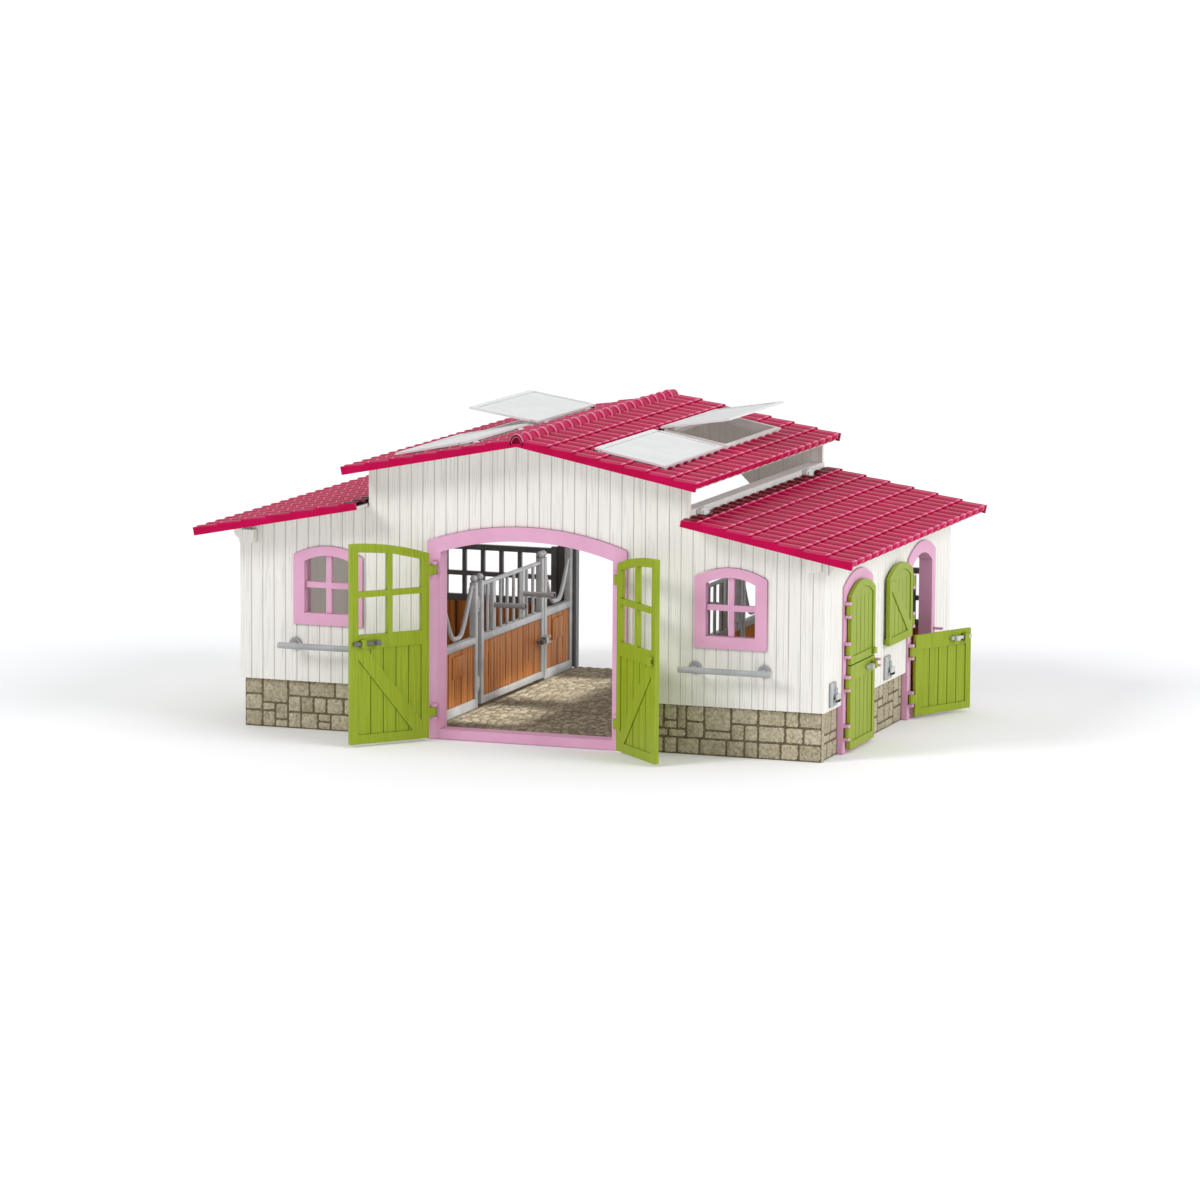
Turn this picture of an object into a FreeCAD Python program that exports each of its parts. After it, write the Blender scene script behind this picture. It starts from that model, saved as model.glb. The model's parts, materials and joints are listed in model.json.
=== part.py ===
import FreeCAD, Part
import math
import os
from types import SimpleNamespace

import Sketcher
from FreeCAD import Placement, Rotation, Vector

# Toy stable: a nave with a tiled gable roof and two lean-to stall rows.
# X runs across the front, Y from front to back, Z up; the origin is on the ground
# under the middle of the plan. Sizes are in millimetres.

doc = FreeCAD.newDocument("toy_stable")
sheet = doc.addObject("Spreadsheet::Sheet", "dims")

# Driving sizes: name, value, meaning
SIZES = [
    ("half_width", 263.0, "middle to the outer face of a side wall"),
    ("half_depth", 188.0, "middle to the outer face of the front wall"),
    ("wall_thick", 4.0, "thickness of a board wall"),
    ("set_gap", 0.2, "gap round a piece set into a wall"),
    ("run_gap", 0.4, "gap between pieces that move past each other"),
    ("floor_thick", 3.0, "floor plate"),
    ("paving_top", 8.0, "top of the cobbled aisle"),
    ("plinth_top", 42.0, "top of the stone plinth"),
    ("plinth_inset", 3.0, "plinth face behind the board face"),
    ("plinth_thick", 7.5, "plinth block without its stones' relief"),
    ("stone_relief", 0.8, "how far a stone stands out of its joints"),
    ("stone_joint", 1.2, "width of a joint between stones"),
    ("board_pitch", 10.52, "width of one wall board"),
    ("groove_width", 1.1, "width of the groove between two boards"),
    ("groove_depth", 0.6, "depth of that groove"),
    # Main doorway
    ("door_half", 89.4, "half width of the main frame"),
    ("door_spring", 169.7, "height where its arch springs"),
    ("door_rise", 15.4, "rise of its arch"),
    ("door_jamb", 11.9, "width of its jamb"),
    ("door_inner_spring", 160.7, "spring height of the clear opening"),
    ("door_inner_rise", 12.4, "rise of the clear opening"),
    ("frame_proud", 3.0, "frame face in front of the wall face"),
    ("frame_deep", 16.0, "depth of the main frame"),
    ("sill_top", 8.5, "top of the main sill"),
    # Main leaves
    ("leaf_axis_x", 82.0, "middle to the hinge axis of a main leaf"),
    ("leaf_axis_out", 6.5, "hinge axis in front of the wall face"),
    ("leaf_near", 5.5, "hinge axis to the near edge of a main leaf"),
    ("leaf_far", 81.6, "hinge axis to the far edge of a main leaf"),
    ("leaf_thick", 4.0, "thickness of a main leaf"),
    ("leaf_bottom", 2.0, "bottom of a main leaf"),
    ("leaf_low_top", 160.4, "top of a main leaf at its hinge side"),
    ("leaf_high_top", 172.6, "top of a main leaf at its free side"),
    ("leaf_pane_bottom", 95.0, "bottom of the glazed part"),
    ("leaf_bar_height", 129.3, "middle of the cross bar"),
    ("leaf_bar", 5.0, "width of the bars in a leaf"),
    ("leaf_stile", 7.5, "width of the outer stiles"),
    ("leaf_rail_low", 83.0, "bottom of the lock rail"),
    ("leaf_open_left", 129.0, "opening angle of the left main leaf"),
    ("leaf_open_right", 134.0, "opening angle of the right main leaf"),
    ("main_hinge_low", 24.0, "height of a main leaf's lower hinge"),
    ("main_hinge_high", 146.0, "height of its upper hinge"),
    ("main_bolt_height", 88.0, "height of the slide latch of the main doors"),
    # Hinges
    ("pin_r", 1.3, "hinge pin radius"),
    ("pin_flat", 1.0, "middle of a pin to its moulded flats"),
    ("bore_gap", 0.06, "running clearance on the radius"),
    ("knuckle", 2.35, "middle of a knuckle to its corners"),
    ("knuckle_tall", 8.0, "height of a knuckle"),
    ("lug_tall", 2.4, "thickness of a hinge lug"),
    ("lug_half", 2.4, "half width of a hinge lug"),
    # Windows
    ("window_x", 181.0, "middle to a window's middle"),
    ("window_half", 31.75, "half width of a window frame"),
    ("window_bottom", 91.7, "bottom of a window frame"),
    ("window_spring", 151.4, "spring height of a window frame"),
    ("window_rise", 8.6, "rise of its arch"),
    ("window_border", 10.0, "width of its border"),
    ("window_bar", 5.0, "width of its glazing bars"),
    ("window_bar_height", 126.0, "middle of its cross bar"),
    # Side doors
    ("side_first", 91.0, "front wall face to the first side door"),
    ("side_pitch", 190.0, "first side door to the second"),
    ("side_half", 41.75, "half width of a side frame"),
    ("side_spring", 141.0, "spring height of a side frame"),
    ("side_rise", 11.5, "rise of its arch"),
    ("side_jamb", 10.5, "width of its jamb"),
    ("side_proud", 1.5, "side frame face in front of the wall face"),
    ("side_inner_spring", 132.0, "spring height of its clear opening"),
    ("side_inner_rise", 10.0, "rise of its clear opening"),
    ("side_axis_out", 4.0, "hinge axis in front of the wall face"),
    ("side_axis_back", 38.0, "hinge axis to the middle of the doorway"),
    ("half_near", 4.0, "hinge axis to the near edge of a half leaf"),
    ("half_far", 74.0, "hinge axis to the far edge of a half leaf"),
    ("half_thick", 3.2, "thickness of a half leaf"),
    ("half_back", 2.3, "back of a half leaf in front of the wall face"),
    ("low_bottom", 3.0, "bottom of the lower leaf"),
    ("low_top", 74.0, "top of the lower leaf"),
    ("high_bottom", 75.0, "bottom of the upper leaf"),
    ("high_spring", 133.0, "spring height of the upper leaf"),
    ("high_rise", 10.5, "rise of its arch"),
    ("half_border", 6.5, "width of the border round its planks"),
    ("half_recess", 0.8, "depth of the plank field"),
    ("low_open", 27.0, "opening angle of the rear lower leaf"),
    ("high_open", 180.0, "opening angle of the rear upper leaf"),
    ("low_hinge_low", 18.0, "height of a lower leaf's lower hinge"),
    ("low_hinge_high", 59.5, "height of its upper hinge"),
    ("high_hinge_low", 88.0, "height of an upper leaf's lower hinge"),
    ("high_hinge_high", 122.0, "height of its upper hinge"),
    ("bolt_height", 67.4, "middle of a door bolt"),
    ("bolt_half", 1.4, "half size of a door bolt's bar"),
    ("bolt_travel", 6.0, "travel of a door bolt"),
    # Roofs
    ("pitch_angle", 11.1, "pitch of every roof"),
    ("ridge_under", 256.2, "underside of the decks at the ridge"),
    ("main_run", 160.5, "length of a main slope"),
    ("lean_edge", 144.6, "middle to the upper edge of a lean-to roof"),
    ("lean_under", 196.15, "underside of a lean-to deck at that edge"),
    ("lean_run", 152.0, "length of a lean-to slope"),
    ("front_overhang", 28.0, "roofs in front of the front wall"),
    ("rear_overhang", 3.0, "roofs behind the rear edge"),
    ("deck_thick", 2.5, "thickness of a roof deck"),
    ("deck_inset", 3.0, "deck edge behind the tile edge"),
    ("tile_low", 3.2, "valley of a tile at its upper end"),
    ("tile_step", 1.6, "how far a course stands over the next"),
    ("tile_wave", 3.0, "height of a tile's round back"),
    ("tile_pitch", 20.35, "width of a tile"),
    ("courses", 7, "courses of tiles on a slope"),
    ("lean_first", 15.0, "length of a lean-to's short first course"),
    ("ridge_clear", 7.0, "ridge to the first course"),
    ("ridge_half", 6.2, "half width of a ridge tile"),
    ("ridge_top", 267.0, "top of the ridge tiles"),
    # Skylights
    ("light_near", 54.0, "ridge to the upper edge of a curb, along the slope"),
    ("light_far", 119.5, "ridge to the lower edge of a curb"),
    ("light_wall", 4.5, "thickness of a curb wall"),
    ("light_long", 150.0, "length of a curb"),
    ("light_front", 80.0, "front wall face to the first skylight's middle"),
    ("light_pitch", 173.0, "first skylight to the second"),
    ("curb_top", 7.6, "top of a curb over the deck's underside"),
    ("light_axis", 58.0, "ridge to the hinge axis of a lid"),
    ("light_axis_up", 5.6, "that axis over the deck's underside"),
    ("lid_thick", 2.0, "thickness of a lid"),
    ("lid_tail", 0.8, "how far a lid reaches back over its hinge"),
    ("lid_open", 20.0, "opening angle of the rear lids"),
    # Nave
    ("nave_half", 144.0, "half width of the upper gable"),
    ("rail_inner", 131.5, "middle to the inner face of a roof rail"),
    ("rail_outer", 143.5, "middle to the outer face of a roof rail"),
    ("rail_bottom", 197.0, "bottom of a roof rail"),
    ("rail_top", 206.0, "top of a roof rail"),
    ("lean_axis_x", 146.0, "middle to a lean-to's hinge axis"),
    ("lean_axis_z", 203.2, "height of that axis"),
    ("post_inner", 88.0, "middle to the inner face of a rear post"),
    ("post_outer", 106.0, "middle to the outer face of a rear post"),
    ("post_top", 172.0, "top of a rear post"),
    ("brace_x", 62.0, "middle to the top of a knee brace"),
    ("brace_z", 198.0, "height of the rear opening"),
    # Stalls
    ("stall_x", 94.0, "middle to the middle of a stall front"),
    ("tube", 6.0, "posts and rails of the stall fronts"),
    ("bar_size", 3.4, "bars of the stall fronts"),
    ("stall_front", 37.0, "front wall face to the first stall post"),
    ("gate_front", 127.0, "front wall face to the gate's hinge"),
    ("gate_rear", 291.0, "front wall face to the gate's free end"),
    ("board_low", 15.5, "bottom of the stall boards"),
    ("board_high", 64.0, "top of the stall boards"),
    ("mid_rail_top", 70.0, "top of the rail over the boards"),
    ("top_rail", 114.0, "middle of the top rail"),
    ("post_high", 118.0, "top of a stall post under its finial"),
    ("finial_r", 3.3, "radius of a finial"),
    ("feed_low", 75.0, "middle of the tube at the foot of a feed gap"),
    ("feed_foot", 8.0, "half width of a feed gap's foot"),
    ("feed_knee", 17.0, "half width where its legs begin"),
    ("feed_half", 33.0, "half width where its legs end"),
    ("arm_long", 28.0, "saddle arm into the aisle"),
    ("arm_height", 92.0, "height of a saddle arm"),
    ("arm_r", 2.4, "radius of a saddle arm"),
    ("arm_end_r", 3.4, "radius of its end stop"),
    ("gate_hinge_low", 28.0, "height of a gate's lower hinge"),
    ("gate_hinge_high", 98.0, "height of its upper hinge"),
    ("gate_latch_height", 44.0, "height of a gate's slide latch"),
    ("grille_y", 365.0, "front wall face to the rear grille"),
    ("grille_rail", 89.5, "middle of the rear grille's extra rail"),
    # Front and side fittings
    ("hitch_in", 140.3, "middle to the inner end of a hitching rail"),
    ("hitch_out", 221.2, "middle to its outer end"),
    ("hitch_height", 74.5, "height of a hitching rail"),
    ("hitch_gap", 15.3, "hitching rail in front of the wall face"),
    ("hitch_r", 2.65, "radius of a hitching rail"),
]

for row, (alias, number, meaning) in enumerate(SIZES, start=1):
    sheet.set(f"A{row}", meaning)
    sheet.set(f"B{row}", str(number))
    sheet.setAlias(f"B{row}", alias)
doc.recompute()


class Size:
    """A length or angle that keeps its number and the sheet formula it comes from."""

    def __init__(self, number, text=None):
        self.number = number
        self.text = text if text is not None else f"({number!r})"

    def __add__(self, other):
        other = as_size(other)
        return Size(self.number + other.number, f"({self.text} + {other.text})")

    def __sub__(self, other):
        other = as_size(other)
        return Size(self.number - other.number, f"({self.text} - {other.text})")

    def __mul__(self, other):
        other = as_size(other)
        return Size(self.number * other.number, f"({self.text} * {other.text})")

    def __truediv__(self, other):
        other = as_size(other)
        return Size(self.number / other.number, f"({self.text} / {other.text})")

    def __radd__(self, other):
        return as_size(other) + self

    def __rsub__(self, other):
        return as_size(other) - self

    def __rmul__(self, other):
        return as_size(other) * self

    def __neg__(self):
        return Size(-self.number, f"(0 - {self.text})")


def as_size(value):
    return value if isinstance(value, Size) else Size(float(value))


def cosine(angle):
    return Size(math.cos(math.radians(angle.number)), f"cos({angle.text} * 1 deg)")


def sine(angle):
    return Size(math.sin(math.radians(angle.number)), f"sin({angle.text} * 1 deg)")


d = SimpleNamespace(**{alias: Size(float(sheet.get(alias)), f"dims.{alias}") for alias, _, _ in SIZES})

made = {}
counter = [0]


def fresh(kind):
    counter[0] += 1
    return f"{kind}_{counter[0]}"


def bind(thing, prop, size):
    thing.setExpression(prop, as_size(size).text)


def in_order(pair):
    low, high = as_size(pair[0]), as_size(pair[1])
    return (low, high) if low.number <= high.number else (high, low)


# Building blocks

def box(x, y, z):
    """A block between three pairs of sizes."""
    thing = doc.addObject("Part::Box", fresh("block"))
    for pair, length, axis in ((x, "Length", "x"), (y, "Width", "y"), (z, "Height", "z")):
        low, high = in_order(pair)
        bind(thing, length, high - low)
        bind(thing, f".Placement.Base.{axis}", low)
    return thing


AXIS_TURN = {
    "x": Rotation(Vector(0, 1, 0), 90),
    "y": Rotation(Vector(1, 0, 0), -90),
    "z": Rotation(),
}


def rod(axis, at, span, radius):
    """A round bar along an axis; at holds the other two coordinates in X, Y, Z order."""
    low, high = in_order(span)
    thing = doc.addObject("Part::Cylinder", fresh("rod"))
    thing.Placement = Placement(Vector(), AXIS_TURN[axis])
    bind(thing, "Radius", radius)
    bind(thing, "Height", high - low)
    others = [name for name in "xyz" if name != axis]
    bind(thing, f".Placement.Base.{axis}", low)
    for name, size in zip(others, at):
        bind(thing, f".Placement.Base.{name}", size)
    return thing


def eight_sided(axis, at, span, radius):
    """A bar of eight flats along an axis, for small round pieces; radius reaches its corners."""
    low, high = in_order(span)
    thing = doc.addObject("Part::Prism", fresh("bar"))
    thing.Polygon = 8
    thing.Placement = Placement(Vector(), AXIS_TURN[axis])
    bind(thing, "Circumradius", radius)
    bind(thing, "Height", high - low)
    others = [name for name in "xyz" if name != axis]
    bind(thing, f".Placement.Base.{axis}", low)
    for name, size in zip(others, at):
        bind(thing, f".Placement.Base.{name}", size)
    return thing


def square_bar(axis, at, span, half):
    """A bar of four flats along an axis."""
    sides = [(as_size(size) - half, as_size(size) + half) for size in at]
    sides.insert("xyz".index(axis), span)
    return box(*sides)


def pin(axis, at, span):
    """A round hinge pin with four moulded flats."""
    low, high = in_order(span)
    return common(rod(axis, at, span, d.pin_r), square_bar(axis, at, (low - 1, high + 1), d.pin_flat))


def bore(axis, at, span):
    """The way through a knuckle, open on its four sides by the running clearance."""
    return square_bar(axis, at, span, d.pin_r + d.bore_gap)


def ball(at, radius):
    """A faceted ball."""
    x, y, z = (as_size(size) for size in at)
    across = eight_sided("x", (y, z), (x - radius, x + radius), radius)
    along = eight_sided("y", (x, z), (y - radius, y + radius), radius)
    return common(across, along)


def fuse(*things):
    if len(things) == 1:
        return things[0]
    thing = doc.addObject("Part::MultiFuse", fresh("union"))
    thing.Shapes = list(things)
    thing.Refine = True
    return thing


def cut(base, *tools):
    thing = doc.addObject("Part::Cut", fresh("cut"))
    thing.Base = base
    thing.Tool = fuse(*tools)
    return thing


def common(first, second):
    thing = doc.addObject("Part::Common", fresh("common"))
    thing.Base = first
    thing.Tool = second
    return thing


def group(*things):
    thing = doc.addObject("Part::Compound", fresh("group"))
    thing.Links = list(things)
    return thing


def place(thing, base, axis=(0, 0, 1), angle=0):
    """Turn a finished piece about an axis through its own origin and move it to base."""
    thing.Placement = Placement(Vector(), Rotation(Vector(*axis), as_size(angle).number))
    for name, size in zip("xyz", base):
        bind(thing, f".Placement.Base.{name}", size)
    if as_size(angle).number != 0:
        bind(thing, ".Placement.Rotation.Angle", angle)
    return thing


def fixed_solid(shape):
    """A piece worked out by formula, where no primitive or sketch fits."""
    thing = doc.addObject("Part::Feature", fresh("formed"))
    thing.Shape = shape
    return thing


PLANES = {"XY": ("XY_Plane", 1), "XZ": ("XZ_Plane", -1), "YZ": ("YZ_Plane", 1)}


def add_loop(sketch, loop):
    """A closed outline. Each corner is (u, v) or (u, v, radius, bulge side): the edge that
    leaves such a corner is an arc of that radius through the middle point it bulges to."""
    first = sketch.GeometryCount
    count = len(loop)
    corners = [(as_size(corner[0]), as_size(corner[1])) for corner in loop]
    points = [Vector(u.number, v.number, 0) for u, v in corners]
    ends = []
    for index, corner in enumerate(loop):
        start, end = points[index], points[(index + 1) % count]
        if len(corner) == 2:
            sketch.addGeometry(Part.LineSegment(start, end), False)
            ends.append((1, 2))
            continue
        radius = as_size(corner[2]).number
        chord = end - start
        half = chord.Length / 2
        sagitta = radius - math.sqrt(radius * radius - half * half)
        normal = Vector(-chord.y, chord.x, 0).normalize() * corner[3]
        middle = (start + end) * 0.5 + normal * sagitta
        # Sketch arcs run counter-clockwise, so one that bulges to the left of its way is turned round.
        if corner[3] > 0:
            sketch.addGeometry(Part.ArcOfCircle(end, middle, start), False)
            ends.append((2, 1))
        else:
            sketch.addGeometry(Part.ArcOfCircle(start, middle, end), False)
            ends.append((1, 2))
    for index, corner in enumerate(loop):
        geometry = first + index
        following = first + (index + 1) % count
        sketch.addConstraint(Sketcher.Constraint(
            "Coincident", geometry, ends[index][1], following, ends[(index + 1) % count][0]))
    for index, corner in enumerate(loop):
        geometry = first + index
        start = ends[index][0]
        for kind, size, axis in (("DistanceX", corners[index][0], -2), ("DistanceY", corners[index][1], -1)):
            if size.number == 0:
                sketch.addConstraint(Sketcher.Constraint("PointOnObject", geometry, start, axis))
            else:
                number = sketch.addConstraint(
                    Sketcher.Constraint(kind, -1, 1, geometry, start, size.number))
                sketch.setExpression(f"Constraints[{number}]", size.text)
        if len(corner) > 2:
            number = sketch.addConstraint(
                Sketcher.Constraint("Radius", geometry, as_size(corner[2]).number))
            sketch.setExpression(f"Constraints[{number}]", as_size(corner[2]).text)


def prism(plane, loops, span):
    """A sketched outline with its holes, padded along the plane's own axis over span."""
    low, high = in_order(span)
    plane_name, sign = PLANES[plane]
    body = doc.addObject("PartDesign::Body", fresh("body"))
    sketch = body.newObject("Sketcher::SketchObject", fresh("outline"))
    origin = next(item for item in body.Origin.OriginFeatures if item.Role == plane_name)
    sketch.AttachmentSupport = [(origin, "")]
    sketch.MapMode = "FlatFace"
    bind(sketch, ".AttachmentOffset.Base.z", low if sign > 0 else -high)
    for loop in loops:
        add_loop(sketch, loop)
    pad = body.newObject("PartDesign::Pad", fresh("pad"))
    pad.Profile = sketch
    bind(pad, "Length", high - low)
    sketch.Visibility = False
    body.Tip = pad
    return body


def arc_radius(half, rise):
    return (half * half + rise * rise) / (2 * as_size(rise))


def arch(centre, half, bottom, spring, rise):
    """An upright outline with straight sides and a segmental arch on top."""
    centre = as_size(centre)
    return [
        (centre - half, bottom),
        (centre + half, bottom),
        (centre + half, spring, arc_radius(half, rise), -1),
        (centre - half, spring),
    ]


def rectangle(u, v):
    (u0, u1), (v0, v1) = in_order(u), in_order(v)
    return [(u0, v0), (u1, v0), (u1, v1), (u0, v1)]


def node(thing, name):
    """Name a finished sub-part."""
    thing.Label = name
    made[name] = thing
    return thing


SIDES = (("left", -1), ("right", 1))
front = -d.half_depth
rear = d.half_depth
roof_front = front - d.front_overhang
roof_rear = rear + d.rear_overhang
slope_cos = cosine(d.pitch_angle)
slope_sin = sine(d.pitch_angle)
slope_tan = slope_sin / slope_cos
doorways = (front + d.side_first, front + d.side_first + d.side_pitch)
PLACES = ("front", "rear")

# Heights of the roofs' undersides, less the running gap, where the walls end below them


def main_wall_top(x):
    return d.ridge_under - d.run_gap - as_size(x) * slope_tan


def lean_wall_top(x):
    return d.lean_under - d.run_gap - (as_size(x) - d.lean_edge) * slope_tan


# Floor

plinth_face = d.half_width - d.plinth_inset
floor_half = plinth_face - d.plinth_thick
floor_front = front + d.frame_deep - d.frame_proud
floor_rear = rear - 2
paving_half = d.stall_x - d.tube / 2

node(box((-floor_half, floor_half), (floor_front, floor_rear), (0, d.floor_thick)), "floor_plate")
node(box((-paving_half, paving_half), (floor_front, floor_rear), (d.floor_thick, d.paving_top)),
     "aisle_paving")

# Board walls


def grooved_slab(low, high, thick, tall):
    """A slab along u from low to high whose front face, at v = 0, has a groove at every board."""
    pitch = d.board_pitch.number
    half_groove = d.groove_width.number / 2
    depth = d.groove_depth.number
    points = [Vector(low, thick, 0), Vector(low, 0, 0)]
    boards = int(round((high - low) / pitch))
    for board in range(1, boards):
        u = low + (high - low) * board / boards
        points += [Vector(u - half_groove, 0, 0), Vector(u, depth, 0), Vector(u + half_groove, 0, 0)]
    points += [Vector(high, 0, 0), Vector(high, thick, 0)]
    points.append(points[0])
    return Part.Face(Part.makePolygon(points)).extrude(Vector(0, 0, tall))


wall_tall = d.ridge_under.number

front_outline = [
    (-d.half_width, d.plinth_top),
    (-d.door_half - d.set_gap, d.plinth_top),
    (-d.door_half - d.set_gap, d.door_spring + d.set_gap,
     arc_radius(d.door_half + d.set_gap, d.door_rise), 1),
    (d.door_half + d.set_gap, d.door_spring + d.set_gap),
    (d.door_half + d.set_gap, d.plinth_top),
    (d.half_width, d.plinth_top),
    (d.half_width, lean_wall_top(d.half_width)),
    (d.nave_half, lean_wall_top(d.nave_half)),
    (d.nave_half, main_wall_top(d.nave_half)),
    (0, main_wall_top(0)),
    (-d.nave_half, main_wall_top(d.nave_half)),
    (-d.nave_half, lean_wall_top(d.nave_half)),
    (-d.half_width, lean_wall_top(d.half_width)),
]


def window_outline(sign, margin):
    return arch(sign * d.window_x, d.window_half + margin, d.window_bottom - margin,
                d.window_spring + margin, d.window_rise)


front_blank = prism("XZ", [front_outline] + [window_outline(sign, d.set_gap) for _, sign in SIDES],
                    (front, front + d.wall_thick))
front_boards = fixed_solid(grooved_slab(-d.half_width.number, d.half_width.number,
                                        d.wall_thick.number, wall_tall))
place(front_boards, (0, front, 0))
# Ends of the eave beams show on the wall under the overhang.
beam_outer = d.half_width - 3
beam_inner = beam_outer - 13
beam_top = lean_wall_top(beam_outer) - 1.5
beam_ends = [box((sign * beam_inner, sign * beam_outer), (front - 9, front + 1), (beam_top - 11, beam_top))
             for _, sign in SIDES]
node(fuse(common(front_blank, front_boards), *beam_ends), "front_wall")

# Side walls stand behind the front wall; small brackets under the eaves belong to them.

side_top = lean_wall_top(d.half_width)
bracket_places = (front + 8, front + d.side_first + d.side_pitch / 2, rear - 14)


def side_wall(sign):
    ends = (front + d.wall_thick, rear)
    holes = [arch(middle, d.side_half + d.set_gap, d.plinth_top, d.side_spring + d.set_gap, d.side_rise)
             for middle in doorways]
    outline = [(ends[0], d.plinth_top)]
    for left_foot, right_foot, right_top, left_top in holes:
        outline += [left_foot, (*left_top[:2], right_top[2], 1), right_top[:2], right_foot]
    outline += [(ends[1], d.plinth_top), (ends[1], side_top), (ends[0], side_top)]
    face = d.half_width - d.wall_thick
    blank = prism("YZ", [outline], (sign * face, sign * d.half_width))
    slab = fixed_solid(grooved_slab(ends[0].number, ends[1].number, d.wall_thick.number, wall_tall))
    # Turn the slab so that its grooved face looks outwards.
    if sign > 0:
        place(slab, (d.half_width, 0, 0), (0, 0, 1), 90)
    else:
        slab.Shape = slab.Shape.mirror(Vector(), Vector(0, 1, 0))
        place(slab, (-d.half_width, 0, 0), (0, 0, 1), 90)
    wall = common(blank, slab)
    brackets = []
    for y in bracket_places:
        wedge = prism("XZ", [[
            (sign * d.half_width, side_top - 16),
            (sign * (d.half_width + 9), side_top - 7),
            (sign * (d.half_width + 9), side_top - 3),
            (sign * d.half_width, side_top - 1.5),
        ]], (y, y + 6))
        brackets.append(wedge)
    return fuse(wall, *brackets)


for name, sign in SIDES:
    node(side_wall(sign), f"{name}_wall")

# Stone plinths: each stretch is a backing block with courses of raised stones


def stone_rows(long):
    """Stones on a stretch: pairs of corners, in three courses of uneven lengths."""
    rows = 3
    joint = d.stone_joint.number
    tall = d.plinth_top.number / rows
    lengths = (29.0, 18.0, 24.0, 34.0, 21.0)
    stones = []
    for course in range(rows):
        start = 0.0
        index = course * 2
        while start < long - 1:
            step = lengths[index % len(lengths)]
            end = start + step
            if end > long - 9:
                end = long
            z = course * tall
            stones.append((start + joint / 2, end - joint / 2, z + joint / 2, z + tall - joint / 2))
            start = end
            index += 1
    return stones


def plinth(long, thick):
    """A stretch lying along u from 0, its stones looking to -v."""
    relief = d.stone_relief.number
    taper = 0.5
    solids = [Part.makeBox(long, thick - relief, d.plinth_top.number, Vector(0, relief, 0))]
    for u0, u1, z0, z1 in stone_rows(long):
        back = Part.makePolygon([Vector(u0, relief + 0.5, z0), Vector(u1, relief + 0.5, z0),
                                 Vector(u1, relief + 0.5, z1), Vector(u0, relief + 0.5, z1),
                                 Vector(u0, relief + 0.5, z0)])
        face = Part.makePolygon([Vector(u0 + taper, 0, z0 + taper), Vector(u1 - taper, 0, z0 + taper),
                                 Vector(u1 - taper, 0, z1 - taper), Vector(u0 + taper, 0, z1 - taper),
                                 Vector(u0 + taper, 0, z0 + taper)])
        solids.append(Part.makeLoft([back, face], True, True))
    return solids[0].multiFuse(solids[1:])


plinth_front = front + d.plinth_inset
plinth_deep = floor_front - plinth_front
front_long = plinth_face - d.door_half - d.set_gap
stretches = []
for name, sign in SIDES:
    stretch = fixed_solid(plinth(front_long.number, plinth_deep.number))
    start = d.door_half + d.set_gap if sign > 0 else -plinth_face
    stretches.append(place(stretch, (start, plinth_front, 0)))
node(group(*stretches), "front_plinths")

stretches = []
for name, sign in SIDES:
    stops = [floor_front]
    for middle in doorways:
        stops += [middle - d.side_half - d.set_gap, middle + d.side_half + d.set_gap]
    stops.append(rear)
    for low, high in zip(stops[0::2], stops[1::2]):
        long = high - low
        stretch = fixed_solid(plinth(long.number, d.plinth_thick.number))
        if sign > 0:
            place(stretch, (plinth_face, low, 0), (0, 0, 1), 90)
        else:
            place(stretch, (-plinth_face, high, 0), (0, 0, 1), -90)
        stretches.append(stretch)
node(group(*stretches), "side_plinths")

# Hinges. A leaf is made about its own hinge axis: u runs along the closed leaf, w points out of
# the building and is the leaf's local y times hand.


def hinge_lugs(axis_x, axis_y, face, axis_name, heights):
    """Lugs and pins standing on a frame's face, on an upright axis."""
    pieces = []
    for height in heights:
        low = height - d.knuckle_tall / 2 - 0.3
        high = height + d.knuckle_tall / 2 + 0.3
        for z in ((low - d.lug_tall, low), (high, high + d.lug_tall)):
            if axis_name == "y":
                lug = box((axis_x - d.lug_half, axis_x + d.lug_half), face, z)
            else:
                lug = box(face, (axis_y - d.lug_half, axis_y + d.lug_half), z)
            pieces.append(lug)
        pieces.append(pin("z", (axis_x, axis_y), (low - 0.5, high + 0.5)))
    return pieces


def knuckles(near, heights, hand, back, face):
    """Blocks with a bore, from round the axis to a leaf's near edge."""
    blocks, bores = [], []
    reach = near + 1.0
    for height in heights:
        span = (height - d.knuckle_tall / 2, height + d.knuckle_tall / 2)
        blocks.append(eight_sided("z", (0, 0), span, d.knuckle))
        blocks.append(box((d.knuckle - 0.6, reach), (hand * back, hand * face), span))
        bores.append(bore("z", (0, 0), (span[0] - 1, span[1] + 1)))
    return blocks, bores


# Main door frame

frame_face = front - d.frame_proud
main_axis_y = front - d.leaf_axis_out
main_hinges = (d.main_hinge_low, d.main_hinge_high)
inner_half = d.door_half - d.door_jamb
main_ring = prism("XZ", [
    arch(0, d.door_half, 0, d.door_spring, d.door_rise),
    arch(0, inner_half, d.sill_top, d.door_inner_spring, d.door_inner_rise),
], (frame_face, floor_front))
main_lugs = []
for _, sign in SIDES:
    main_lugs += hinge_lugs(sign * d.leaf_axis_x, main_axis_y,
                            (main_axis_y - d.lug_half, frame_face + 0.5), "y", main_hinges)
node(fuse(main_ring, *main_lugs), "main_door_frame")

# Window frames, set into the front wall with a lip over its face

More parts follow.
